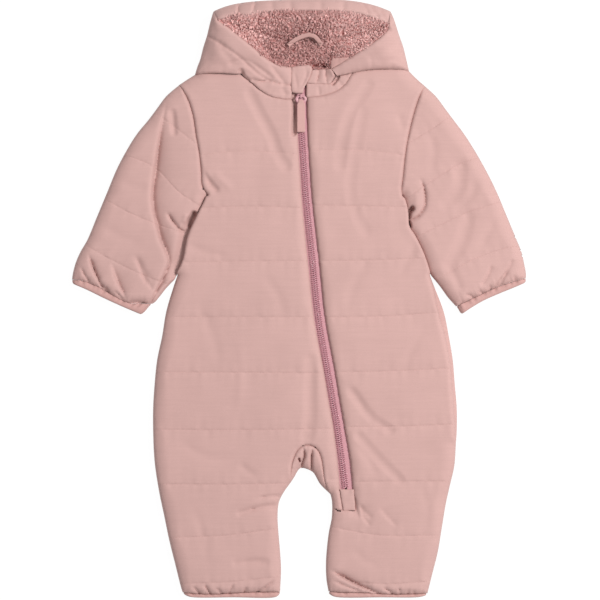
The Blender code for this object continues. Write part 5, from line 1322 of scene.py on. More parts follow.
# ---------------------------------------------------------------------- body
@dataclass
class Body:
    """The back, both fronts and the gusset between the legs."""

    pitch: float = 1.6
    back_pitch: float = 3.0
    hollow: float = 0.8      # depth of the quilting on the underside
    lowest: float = FRONT_BASE + 0.6     # least height of the fronts' and gusset's upper faces
    gusset_crest: float = 18.2
    middle: float = BACK_TOP - 3.4   # height of the back's rounded sides where they stand out most

    def front_outlines(self) -> dict[str, Outline]:
        """Plan outlines of the two fronts."""
        top = ZIP_ROWS[0]
        low = ZIP_ROWS[-1]
        right = Outline(
            ("seam", moved_out(seam("neck_right", reverse=True))),
            ("hidden", moved_out(seam("hood_fold_right", reverse=True), 2.0)),
            ("side", seam("shoulder_right")),
            ("seam", seam("armhole_right")),
            ("lap", moved_out(seam("tuck_right", 2.0), 1.6, 3.0)),
            ("side", seam("side_right")),
            ("hem", seam("hem_right")),
            ("side", seam("inseam_right")),
            ("seam", seam("gusset_seam")),
            ("side", seam("strip_side")),
            ("seam", seam("strip_seam")),
            ("zip", spline([(51.5, -243.0), (49.4, -232.0), (low[1], low[0])])),
            ("zip", zip_path(1, reverse=True)),
            ("seam", np.array([(top[1], top[0]), (-4.2, 239.0), (-8.0, 239.0), (-8.0, 229.4)])),
        )
        left = Outline(
            ("zip", zip_path(3, whole=False)),
            ("zip", spline([(low[3], low[0]), (62.9, -232.0), (63.6, -242.6)])),
            ("seam", seam("patch_seam", reverse=True)),
            ("seam", seam("strip_seam", reverse=True)),
            ("side", seam("inseam_left")),
            ("hem", seam("hem_left")),
            ("side", seam("thigh_left", reverse=True)),
            ("turned", seam("side_seam_left", 2.0, reverse=True)),
            ("lap", moved_out(seam("tuck_left", 2.0, reverse=True), 1.6, 3.0)),
            ("seam", seam("armhole_left", reverse=True)),
            ("side", seam("shoulder_left", reverse=True)),
            ("hidden", moved_out(seam("hood_fold_left", reverse=True), 2.0)),
            ("seam", moved_out(seam("neck_left"))),
        )
        return {"front_right": right, "front_left": left}

    def back_outline(self) -> Outline:
        """Plan outline of the back with both trouser backs."""
        return Outline(
            ("seam", seam("nape", reverse=True)),
            ("side", seam("shoulder_right")),
            ("seam", moved_out(seam("armhole_right"), 1.2, 1.0)),
            ("side", seam("tuck_right")),
            ("side", seam("side_right")),
            ("seam", seam("hem_right")),
            ("side", seam("inseam_right")),
            ("side", seam("crotch")),
            ("side", seam("strip_side")),
            ("side", seam("inseam_left")),
            ("seam", seam("hem_left")),
            ("side", seam("thigh_left", reverse=True)),
            ("side", seam("side_left", reverse=True)),
            ("side", seam("tuck_left", reverse=True)),
            ("seam", moved_out(seam("armhole_left", reverse=True), 1.2, 1.0)),
            ("side", seam("shoulder_left", reverse=True)),
        )

    def build(self) -> dict[str, PaddedLaw]:
        """Makes the four pieces.

        Returns:
            The height law of each quilted face, for the thread on it.
        """
        laws = {}
        for seed, (name, outline) in enumerate(self.front_outlines().items(), 1):
            laws[name] = PaddedLaw(name, outline, FRONT_CREST, self.lowest, seed=seed)
            mesh = PlanGrid(outline, self.pitch, lines=lines_of(name)).build()
            set_heights(mesh, laws[name])
            add_skirt(mesh, level(FRONT_BASE))
            piece = Suit.finish("cloth_" + name, mesh, Finish.SHELL.dress(), "shell", [name])
            Suit.declare(piece, outline, ["back"], allowance=6.0)
        arc = moved_out(seam("gusset_seam", 3.0, reverse=True), 0.6)
        gusset = Outline(("side", seam("crotch", 3.0)), ("seam", arc))
        laws["crotch_gusset"] = PaddedLaw("crotch_gusset", gusset, self.gusset_crest, self.lowest, seed=5,
                                          unevenness=0.3)
        mesh = PlanGrid(gusset, 0.85).build()
        set_heights(mesh, laws["crotch_gusset"])
        add_skirt(mesh, level(FRONT_BASE))
        piece = Suit.finish("cloth_crotch_gusset", mesh, Finish.SHELL.dress(), "shell", ["crotch_gusset"])
        Suit.declare(piece, gusset, ["back"], allowance=6.0)
        self.build_back()
        return laws

    def build_back(self) -> None:
        """Makes the back as a flat pad: a top, rounded sides, and an underside with shallow quilting."""
        outline = self.back_outline()
        sides = [path for kind, path in outline.paths if kind == "side"]
        lines = lines_of("front_right") + lines_of("front_left")

        def top(points: Points) -> np.ndarray:
            drop = (BACK_TOP - self.middle) * rolled(gap_to(points, sides), 6.0)
            return BACK_TOP - drop - 0.5 * fading(gap_to(points, lines), 3.0) + creased(points, "back")

        def under(points: Points) -> np.ndarray:
            rise = self.middle * rolled(gap_to(points, sides), 7.5)
            return rise + self.hollow * bell(gap_to(points, lines), 2.4)

        mesh = PlanGrid(outline, self.back_pitch).build()
        set_heights(mesh, top)
        add_underside(mesh, under)
        join_sheets(mesh, sides, self.middle)
        self.close_ends(mesh)
        piece = Suit.finish("cloth_back", mesh, Finish.SHELL.dress(), "shell", ["back"])
        Suit.declare(piece, outline, [])

    @staticmethod
    def close_ends(mesh: bmesh.types.BMesh) -> None:
        """Closes the gap between the remaining free edges of two sheets that lie over each other."""
        rim = [edge for edge in mesh.edges if edge.is_boundary]
        upper = [edge for edge in rim if sum(vert.co.z for vert in edge.verts) > BACK_TOP]
        drawn = bmesh.ops.extrude_edge_only(mesh, edges=upper)["geom"]
        moved = [part for part in drawn if isinstance(part, bmesh.types.BMVert)]
        lower = {tuple(round(c, 3) for c in vert.co[:2]): vert.co.z for edge in rim for vert in edge.verts
                 if edge not in upper}
        for vert in moved:
            vert.co.z = lower.get(tuple(round(c, 3) for c in vert.co[:2]), vert.co.z)
        bmesh.ops.remove_doubles(mesh, verts=mesh.verts, dist=SAME_PLACE)


# ---------------------------------------------------------------------- sleeves and bindings
@dataclass
class Sleeves:
    """Both sleeves, each a quilted tube laid flat."""

    pitch: float = 1.35

    TURNS = {"sleeve_right": -32.0, "sleeve_left": 27.0}     # way that each one's grid is turned, degrees

    def outlines(self) -> dict[str, Outline]:
        """Plan outlines of the two sleeves."""
        tuck_right, tuck_left = seam("tuck_right", reverse=True), seam("tuck_left")
        return {
            "sleeve_right": Outline(
                ("seam", seam("armhole_right", reverse=True)),
                ("fold", seam("sleeve_top_right")),
                ("hem", seam("cuff_seam_right")),
                ("roll", moved_out(seam("underarm_right", 2.0), 1.4, 4.0)),
                ("fold", np.vstack([seam("underarm_right")[-1:], beside(tuck_right, 0.3)[1:-1],
                                    tuck_right[-1:]])),
            ),
            "sleeve_left": Outline(
                ("seam", seam("armhole_left")),
                ("fold", np.vstack([tuck_left[:1], beside(tuck_left, 0.3)[1:-1],
                                    seam("underarm_left")[-1:]])),
                ("fold", seam("underarm_left", reverse=True)),
                ("hem", seam("cuff_seam_left", reverse=True)),
                ("fold", seam("sleeve_top_left", reverse=True)),
            ),
        }

    @staticmethod
    def underside(law: HeightLaw, folds: Sequence[Points], lines: Sequence[Points]) -> HeightLaw:
        """Height law of a sleeve's lower side: flat on the ground and rounded up to the folds."""
        def under(points: Points) -> np.ndarray:
            height = LIE_LINE * rolled(gap_to(points, folds), 8.0) + 0.8 * bell(gap_to(points, lines), 2.2)
            return np.minimum(height, law(points) - 0.2)

        return under

    def build(self) -> dict[str, PaddedLaw]:
        """Makes both sleeves.

        Returns:
            The height law of each one's upper side.
        """
        laws = {}
        for seed, (name, outline) in enumerate(self.outlines().items(), 11):
            law = PaddedLaw(name, outline, SLEEVE_CREST, LIE_LINE + 0.2, sink=6.0, seed=seed)
            laws[name] = law
            folds = [path for kind, path in outline.paths if kind in ("fold", "roll")]
            lines = lines_of(name)

            mesh = PlanGrid(outline, self.pitch, turn=self.TURNS[name], lines=lines).build()
            set_heights(mesh, law)
            add_underside(mesh, self.underside(law, folds, lines))
            join_sheets(mesh, folds, law.lowest)
            piece = Suit.finish("cloth_" + name, mesh, Finish.SHELL.dress(), "shell", [name])
            Suit.declare(piece, outline, ["back"], layers=2)
        return laws


@dataclass
class Binding:
    """A narrow gathered band round a flattened opening, rolled over into the mouth."""

    name: str
    inner: str               # the seam that it is sewn to
    outer: str               # its free end
    gathers: float           # height of the tucks along the seam
    gather_pitch: float
    seed: int
    rests_on: str

    PROFILE = ((0.0, 1.9), (0.02, 1.0), (0.08, 0.35), (0.2, 0.05), (0.5, 0.0), (0.72, 0.05), (0.88, 0.5),
               (0.97, 1.3), (1.0, 2.4), (0.99, 3.7), (0.94, 4.9), (0.84, 5.7), (0.6, 6.1), (0.2, 6.1))

    def build(self) -> None:
        """Makes the band from a grid rolled round the opening."""
        inner, outer = seam(self.inner, 2.0), seam(self.outer, 2.0)
        width, outer_width = run_of(inner)[-1], run_of(outer)[-1]
        half = BINDING_CREST / 2.0
        straight = width - 2 * half
        around = 2 * straight + math.tau * half
        count = int(around / 1.1)
        rows = len(self.PROFILE) - 1
        mesh = bmesh.new()
        bmesh.ops.create_grid(mesh, x_segments=count, y_segments=rows, size=0.5)
        unit = np.array([vert.co[:2] for vert in mesh.verts])
        turn = (unit[:, 0] + 0.5) * around
        row = np.rint((unit[:, 1] + 0.5) * rows).astype(int)
        profile = np.array(self.PROFILE)
        across, sunk = profile[row, 0], profile[row, 1]
        wave = ripple(turn, self.gather_pitch, self.seed)
        near_seam = bell(across - 0.05, 0.35)
        gathered = self.gathers * near_seam * np.clip(0.6 + 0.9 * wave, 0.0, 2.0)
        sunk = sunk + np.where(sunk < 3.0, gathered, 0.0)
        radius = half - sunk
        quarter = math.pi * half / 2.0
        stops = np.array([quarter, quarter + straight, 3 * quarter + straight, 3 * quarter + 2 * straight])
        along, height = np.zeros(len(turn)), np.zeros(len(turn))
        first = turn < stops[0]
        angle = turn / half
        along[first] = half - radius[first] * np.cos(angle[first])
        height[first] = radius[first] * np.sin(angle[first])
        upper = (turn >= stops[0]) & (turn < stops[1])
        along[upper] = half + (turn[upper] - stops[0])
        height[upper] = radius[upper]
        cap = (turn >= stops[1]) & (turn < stops[2])
        angle = math.pi / 2 - (turn - stops[1]) / half
        along[cap] = width - half + radius[cap] * np.cos(angle[cap])
        height[cap] = radius[cap] * np.sin(angle[cap])
        lower = (turn >= stops[2]) & (turn < stops[3])
        along[lower] = width - half - (turn[lower] - stops[2])
        height[lower] = -radius[lower]
        last = turn >= stops[3]
        angle = -math.pi / 2 - (turn - stops[3]) / half
        along[last] = half + radius[last] * np.cos(angle[last])
        height[last] = radius[last] * np.sin(angle[last])
        share = within(along, width)
        start = place_at(inner, share * width)
        finish = place_at(outer, share * outer_width)
        start, finish = self.clear_of_seam(start, finish)
        plan = start + across[:, None] * (finish - start)
        height = np.maximum(height + half, 0.0)
        for vert, (x, y), z in zip(mesh.verts, plan, height):
            vert.co = (x, y, z)
        bmesh.ops.remove_doubles(mesh, verts=mesh.verts, dist=0.05)
        bmesh.ops.recalc_face_normals(mesh, faces=mesh.faces[:])
        piece = Suit.finish("cloth_" + self.name, mesh, Finish.BINDING.dress(), "binding", [self.name])

    @staticmethod
    def clear_of_seam(start: Points, finish: Points) -> tuple[Points, Points]:
        """The band's seam side, moved off the seam by half its gap."""
        heading = finish - start
        heading /= np.maximum(np.linalg.norm(heading, axis=1), 1e-6)[:, None]
        return start + heading * (SEAM_GAP / 2), finish


BINDINGS = (
    Binding("cuff_binding_right", "cuff_seam_right", "cuff_end_right", 1.5, 9.0, 61, "sleeve_right"),
    Binding("cuff_binding_left", "cuff_seam_left", "cuff_end_left", 1.5, 9.0, 62, "sleeve_left"),
    Binding("leg_binding_right", "hem_right", "hem_end_right", 1.3, 10.0, 63, "back"),
    Binding("leg_binding_left", "hem_left", "hem_end_left", 1.1, 10.0, 64, "back"),
)


# ---------------------------------------------------------------------- hood
@dataclass
class Hood:
    """The hood lying open behind the neck: sides, band, hidden back, pile lining and loop."""

    pitch: float = 1.5
    outer: Points = field(default_factory=lambda: spline(OUTER_HEIGHT))
    rim: Points = field(default_factory=lambda: np.vstack([
        spline(RIM_HEIGHT_RIGHT)[::-1], spline(BAND_HEIGHT), spline(RIM_HEIGHT_LEFT)]))
    neck_rim: Points = field(default_factory=lambda: np.array([
        (-8.3, 266.8, 19.0), (3.4, 268.9, 19.0), (13.8, 268.5, 19.0), (25.0, 264.4, 19.0),
        (36.8, 264.5, 20.0)]))

    def sheet(self, points: Points) -> np.ndarray:
        """Outer face of the hood's sides and band, with the ridges of its plain form smoothed away."""
        border = np.vstack([self.outer, self.rim])
        reach = np.clip(0.9 * nearest_on(points, border).gap, 0.0, 10.0)[:, None]
        total = 2.0 * self.plain_sheet(points)
        for step in directions(6):
            total += self.plain_sheet(points + reach * step) + self.plain_sheet(points - 0.5 * reach * step)
        return total / 14.0

    def plain_sheet(self, points: Points) -> np.ndarray:
        """Outer face of the hood's sides and band: a rolled slope from its outer edge up to the rim."""
        edge = nearest_on(points, np.vstack([spline(LOWER_HEIGHT_RIGHT)[::-1], self.outer,
                                             spline(LOWER_HEIGHT_LEFT)[::-1]]))
        rim = nearest_on(points, self.rim)
        share = edge.gap / np.maximum(edge.gap + rim.gap, 1e-6)
        return edge.value + (rim.value - edge.value) * np.sin(share * math.pi / 2) ** 0.58

    def bowl(self, points: Points) -> np.ndarray:
        """Face of the pile lining: low in the middle, rising to just under the rim all round."""
        rim = nearest_on(points, np.vstack([self.rim, self.neck_rim[::-1]]))
        slope = (1.0 - within(rim.gap, BOWL_SLOPE)) ** 1.2
        return BOWL_FLOOR + (rim.value - 2.2 - BOWL_FLOOR) * slope - folded_in(points, "hood_lining")

    def outlines(self) -> dict[str, Outline]:
        """Plan outlines of the padded pieces that show."""
        return {
            "hood_side_right": Outline(
                ("seam", seam("neck_right")),
                ("seam", seam("hood_end_right", reverse=True)),
                ("rim", seam("rim_right", reverse=True)),
                ("seam", seam("corner_right", reverse=True)),
                ("crown", seam("hood_side_right", reverse=True)),
                ("hidden", seam("hood_fold_right")),
            ),
            "hood_side_left": Outline(
                ("crown", seam("hood_side_left", reverse=True)),
                ("seam", seam("corner_left")),
                ("rim", seam("rim_left")),
                ("rim", seam("rim_neck")),
                ("joined", seam("hood_end_left")),
                ("hidden", seam("hood_fold_neck")),
                ("hidden", seam("hood_fold_left")),
            ),
            "hood_band": Outline(
                ("seam", seam("corner_left", reverse=True)),
                ("crown", seam("hood_top", reverse=True)),
                ("seam", seam("corner_right")),
                ("rim", seam("band_edge")),
            ),
        }

    def lining_outline(self) -> Outline:
        """Plan outline of the pile lining."""
        return Outline(
            ("rim", seam("rim_right")),
            ("rim", seam("garage_top")),
            ("rim", seam("collar_top")),
            ("seam", seam("facing_top")),
            ("rim", seam("rim_left", reverse=True)),
            ("rim", seam("band_edge", reverse=True)),
        )

    def face_law(self, name: str, outline: Outline, seed: int) -> HeightLaw:
        """Height of an outer face of the hood, with its seams, stitching and creases."""
        stitched = lines_of(name)

        def law(points: Points) -> np.ndarray:
            height = self.sheet(points)
            for index, (kind, path) in enumerate(outline.paths):
                near, form = nearest_on(points, path), HOOD_EDGE_FORMS[kind]
                height -= form.fallen(near.gap)
                height += form.pucker * fading(near.gap, 4.0) * ripple(near.run, form.pitch, seed + index)
            for line in stitched:
                near = nearest_on(points, line)
                height -= 1.5 * rolled(near.gap, 5.5) + 1.2 * bell(near.gap, 1.0)
                height += 0.45 * fading(near.gap, 3.0) * ripple(near.run, 6.0, seed + 20)
            loose = 0.35 * drift(points, 48.0, seed) + 0.2 * drift(points, 21.0, seed + 1)
            loose *= within(outline.gap(points), 8.0)
            return height - folded_in(points, name) + creased(points, name) + loose

        return law

    def build(self) -> dict[str, HeightLaw]:
        """Makes the hood's pieces.

        Returns:
            The height law of each stitched face.
        """
        laws = {}
        for seed, (name, outline) in enumerate(self.outlines().items(), 31):
            laws[name] = self.face_law(name, outline, seed * 10)
            mesh = PlanGrid(outline, self.pitch).build()
            set_heights(mesh, laws[name])
            add_skirt(mesh, self.turned_in, rings=3)
            piece = Suit.finish("cloth_" + name, mesh, Finish.SHELL.dress(), "shell", [name], sharp=70.0)
            Suit.declare(piece, outline, ["hood_back"], ease=1.12, allowance=6.5)
        self.build_back()
        self.build_loop()
        return laws

    def turned_in(self, points: Points) -> np.ndarray:
        """Height that the edges of the sides and band are turned down to."""
        border = nearest_on(points, self.outer)
        height = np.where(border.gap < 4.0, border.value - 6.0, self.sheet(points) - 6.5)
        return np.maximum(height, FRONT_BASE)

    def build_back(self) -> None:
        """Makes the hood's hidden back: a flat underside and a rounded wall up to the sides and band."""
        outline = Outline(
            ("seam", seam("nape")),
            ("side", seam("hood_side_left", reverse=True)),
            ("crown", seam("hood_top", reverse=True)),
            ("side", seam("hood_side_right", reverse=True)),
        )
        wall = np.vstack([seam("hood_side_left", reverse=True), seam("hood_top", reverse=True)[1:],
                          seam("hood_side_right", reverse=True)[1:]])

        def under(points: Points) -> np.ndarray:
            near = nearest_on(points, wall)
            edge = nearest_on(points, self.outer).value - 2.2
            share = 1.0 - within(near.gap - JOIN_REACH, 8.0)
            waves = 0.5 * fading(near.gap, 6.0) * (1.0 + ripple(near.run, 16.0, 77))
            height = edge * (1.0 - np.sqrt(np.clip(1.0 - share**2.2, 0.0, 1.0)))
            return np.maximum(height + waves * within(near.gap, 3.0), 0.0)

        mesh = PlanGrid(outline, 1.8).build()
        set_heights(mesh, under)
        bmesh.ops.reverse_faces(mesh, faces=mesh.faces[:])
        piece = Suit.finish("cloth_hood_back", mesh, Finish.SHELL.dress(), "shell", ["hood_back"])
        Suit.declare(piece, outline, [], ease=1.15)

    def build_loop(self) -> None:
        """Makes the ribbon loop in the back of the neck."""
        path = seam("hanger", 1.5)
        left, right = beside(path, 2.3), beside(path, -2.3)
        outline = Outline(("seam", right), ("seam", np.array([right[-1], left[-1]])), ("seam", left[::-1]),
                          ("seam", np.array([left[0], right[0]])))

        def base(points: Points) -> np.ndarray:
            reached = [self.bowl(points + 4.5 * step) for step in directions(8)]
            return np.maximum.reduce(reached + [self.bowl(points)]) + 0.8

        def law(points: Points) -> np.ndarray:
            near = nearest_on(points, path)
            rounded = 0.5 * rolled(outline.gap(points), 0.9)
            return base(points) + 1.6 - rounded - 0.15 * np.exp(-((near.gap - 1.5) ** 2) / 0.05)

        mesh = PlanGrid(outline, 0.7).build()
        set_heights(mesh, law)
        add_skirt(mesh, base)
        piece = Suit.finish("ribbon_hanger_loop", mesh, Finish.BINDING.dress(), "binding", ["hanger_loop"])
        Suit.declare(piece, outline, ["hood_lining"], ease=1.1, allowance=1.5)


@dataclass
class PileLining:
    """Deep curly pile on its knitted base, in the open hood."""

    hood: Hood
    strands: int = 13500
    pieces: int = 3
    knots: int = 4
    depth: float = 3.4       # how far the knitted base lies below the pile's face

    MOUTH = np.array([(14.5, 269.0), (30.5, 267.6)])     # where it parts from the collar

    def build(self) -> None:
        """Makes the base and the strands."""
        outline = self.hood.lining_outline()
        mesh = PlanGrid(outline, 2.2).build()

        def base(points: Points) -> np.ndarray:
            low = self.hood.bowl(points) - self.depth * np.clip(outline.gap(points) / 4.0, 0.2, 1.0)
            slot = nearest_on(points, self.MOUTH).gap
            return low + 0.6 * drift(points, 9.0, 71) - 9.0 * bell(slot, 2.4)

        set_heights(mesh, base)
        add_skirt(mesh, lambda points: base(points) - 3.0, rings=1)
        # painted shade: the knitted base takes a dark tone, darkest in the slot where the pile parts from the
        # collar
        painted_shade_layer = mesh.verts.layers.float.new("tone")
        mouth = nearest_on(np.array([vert.co[:2] for vert in mesh.verts]), self.MOUTH).gap
        for vert, gap in zip(mesh.verts, mouth):
            vert[painted_shade_layer] = 0.25 - 0.25 * math.exp(-((float(gap) / 4.0) ** 2))
        piece = Suit.finish("pile_base", mesh, Finish.PILE.dress(), "pile", ["hood_lining"])
        Suit.declare(piece, outline, ["hood_back"], ease=1.15, allowance=3.0)
        self.build_strands(outline, base)

    def build_strands(self, outline: Outline, base: HeightLaw) -> None:
        """Grows clumped curly strands over the base."""
        random = np.random.default_rng(5)
        low, high = outline.loop.min(axis=0), outline.loop.max(axis=0)
        roots = random.uniform(low, high, (int(self.strands * 2.4), 2))
        roots = roots[is_inside(roots, outline.loop)]
        mouth = nearest_on(roots, self.MOUTH)
        roots = roots[(outline.gap(roots) > 0.8) & (mouth.gap > 1.7)][: self.strands]
        spots = random.uniform(low - 3.0, high + 3.0, (3600, 2))
        clump = np.concatenate([np.argmin(((part[:, None, :] - spots[None]) ** 2).sum(axis=2), axis=1)
                                for part in np.array_split(roots, 20)])
        middle = spots[clump]
        heading = random.uniform(0.0, math.tau, len(spots))
        lean = np.column_stack([np.cos(heading), np.sin(heading)])
        lean *= random.uniform(0.4, 2.2, len(spots))[:, None]
        lean = lean[clump] + self.comb(roots)
        reach = random.uniform(3.4, 5.6, len(roots)) * random.uniform(0.8, 1.2, len(spots))[clump]
        foot = base(roots)
        clump_shade = random.normal(0.0, 0.09, len(spots))[clump]
        # painted light and shade: paler strands on the lobes, darker roots down in the pile; clump_shade and
        # the normal noise are random tone
        lobe_light = self.painted_lobe_light(roots)
        tone_root = 0.16 + 0.60 * lobe_light
        tone_tip = np.clip(0.55 + 0.46 * lobe_light + clump_shade + random.normal(0.0, 0.06, len(roots)), 0.1, 1.0)
        phase = random.uniform(0.0, math.tau, len(spots))[clump] + random.normal(0.0, 0.6, len(roots))
        curl = random.uniform(0.5, 1.15, len(roots))
        edge = outline.gap(roots)
        points = np.zeros((len(roots), self.knots, 3))
        for k, t in enumerate(np.linspace(0.0, 1.0, self.knots)):
            gather = 0.5 * t
            plan = roots * (1.0 - gather) + middle * gather + lean * t**1.4
            plan[:, 0] += curl * t * np.cos(phase + 4.6 * t)
            plan[:, 1] += curl * t * np.sin(phase + 4.6 * t)
            points[:, k, :2] = plan
            rise = reach * (t - 0.32 * t**2.2) * np.clip(0.8 + edge / 12.0, 0.8, 1.0)
            points[:, k, 2] = foot + rise + 0.35 * np.sin(phase * 2.0 + 5.0 * t) * t
        thickness = 0.40 * (1.0 - 0.55 * np.linspace(0.0, 1.0, self.knots))
        for number, part in enumerate(np.array_split(np.arange(len(roots)), self.pieces), 1):
            self.tufts(f"pile_strands_{number}", points[part], thickness, tone_root[part], tone_tip[part])

    @staticmethod
    def comb(points: Points) -> np.ndarray:
        """Which way the pile is brushed: over the band along the top, up and outwards on the left side."""
        band = nearest_on(points, seam("band_edge"))
        over = fading(band.gap, 4.0)[:, None] * np.array([0.0, 3.4])
        side = bell(points[:, 0] - 62.0, 34.0)[:, None] * np.array([1.3, 0.9])
        return over + side + (1.0 - fading(band.gap, 9.0))[:, None] * np.array([0.2, -0.7])

    @staticmethod
    def painted_lobe_light(points: Points) -> np.ndarray:
        """Painted light on the pile: the lobes beside the rim and the strip under the band are painted paler
        than the middle.
        """
        right = np.exp(-(((points[:, 0] + 62.0) / 26.0) ** 2) - ((points[:, 1] - 299.0) / 22.0) ** 2)
        left = 1.15 * np.exp(-(((points[:, 0] - 68.0) / 34.0) ** 2) - ((points[:, 1] - 300.0) / 26.0) ** 2)
        right *= 0.86
        top = 0.5 * bell(points[:, 1] - 322.0, 10.0)
        return np.clip(np.maximum(right, left) + top, 0.0, 1.15)

    @staticmethod
    def tufts(name: str, points: np.ndarray, thickness: np.ndarray, tone_root: np.ndarray,
              tone_tip: np.ndarray) -> None:
        """Makes one piece of strands.

        Args:
            name: the piece.
            points: one row of knots for each strand.
            thickness: radius at each knot.
            tone_root: how pale each strand is at its root, painted light on the lobes and painted shade deep
                in the pile.
            tone_tip: how pale each strand is at its tip, painted light on the lobes with random tone.
        """
        count, knots = points.shape[:2]
        data = tubes(name, points, 1.0, thickness)
        sides = len(data.vertices) // (count * knots)
        share = np.tile(np.repeat(np.linspace(0.0, 1.0, knots), sides), count)
        root, tip = (np.repeat(tone, knots * sides) for tone in (tone_root, tone_tip))
        tone = data.attributes.new("tone", "FLOAT", "POINT")
        tone.data.foreach_set("value", root + (tip - root) * share**0.8)
        Suit.place(name, data, Finish.PILE.dress(), "pile")
        LOG.info("%s: %d strands, %d faces", name, count, len(data.polygons))


# ---------------------------------------------------------------------- collar
@dataclass
class Collar:
    """The small pieces at the neck: gathered collar, neck band, facing and zip garage."""

    pitch: float = 1.1

    def outlines(self) -> dict[str, tuple[Outline, float, float, float]]:
        """Each piece's outline with its crest, the fall at its edge and the reach of that fall."""
        return {
            "collar_left": (Outline(
                ("seam", seam("collar_top", reverse=True)),
                ("seam", moved_out(seam("garage_side", 2.0))),
                ("seam", seam("collar_seam")),
                ("seam", moved_out(seam("hood_end_left", 2.0, reverse=True))),
            ), 18.0, 1.9, 3.4),
            "neck_band_left": (Outline(
                ("seam", moved_out(seam("collar_seam", 2.0, reverse=True))),
                ("seam", np.array([(8.6, 247.5), (8.2, 236.0), (8.4, 231.4)])),
                ("seam", seam("neck_left", reverse=True)),
                ("seam", seam("hood_fold_neck", reverse=True)),
            ), 17.0, 1.3, 3.0),
            "hood_facing_left": (Outline(
                ("seam", seam("facing_top", reverse=True)),
                ("seam", seam("rim_neck", reverse=True)),
            ), 20.5, 0.6, 2.0),
            "zip_garage": (Outline(
                ("seam", seam("garage_top", reverse=True)),
                ("seam", np.array([(-8.3, 266.8), (-9.4, 262.0), (-9.6, 248.0), (-9.2, 240.0),
                                   (-8.1, 236.6)])),
                ("seam", seam("garage_tip", reverse=True)),
                ("seam", seam("garage_side", reverse=True)),
            ), 19.0, 1.7, 3.2),
        }

    def build(self) -> None:
        """Makes the four pieces."""
        for seed, (name, (outline, crest, fall, reach)) in enumerate(self.outlines().items(), 41):
            def law(points: Points, name: str = name, outline: Outline = outline, crest: float = crest,
                    fall: float = fall, reach: float = reach, seed: int = seed) -> np.ndarray:
                near = nearest_on(points, outline.ring())
                height = crest - fall * rolled(near.gap, reach) + creased(points, name)
                if name == "hood_facing_left":
                    height += 0.26 * (points[:, 0] - 36.8)
                height += 0.35 * fading(near.gap, 4.0) * ripple(near.run, 7.0, seed) * within(near.gap, 1.0)
                return height + 0.2 * drift(points, 16.0, seed)

            mesh = PlanGrid(outline, self.pitch).build()
            set_heights(mesh, law)
            facing = name == "hood_facing_left"
            add_skirt(mesh, (lambda points: law(points) - 4.0) if facing else level(crest - 5.5))
            finish, slot = (Finish.BINDING, "binding") if facing else (Finish.SHELL, "shell")
            piece = Suit.finish("cloth_" + name, mesh, finish.dress(), slot, [name])
            Suit.declare(piece, outline, ["back"], ease=1.05, allowance=3.5)


# ---------------------------------------------------------------------- zip
def zip_strip(left: Points, right: Points) -> Outline:
    """Plan outline of a strip between two paths that both run down the suit."""
    return Outline(("seam", left), ("seam", np.array([left[-1], right[-1]])), ("seam", right[::-1]),
                   ("seam", np.array([right[0], left[0]])))


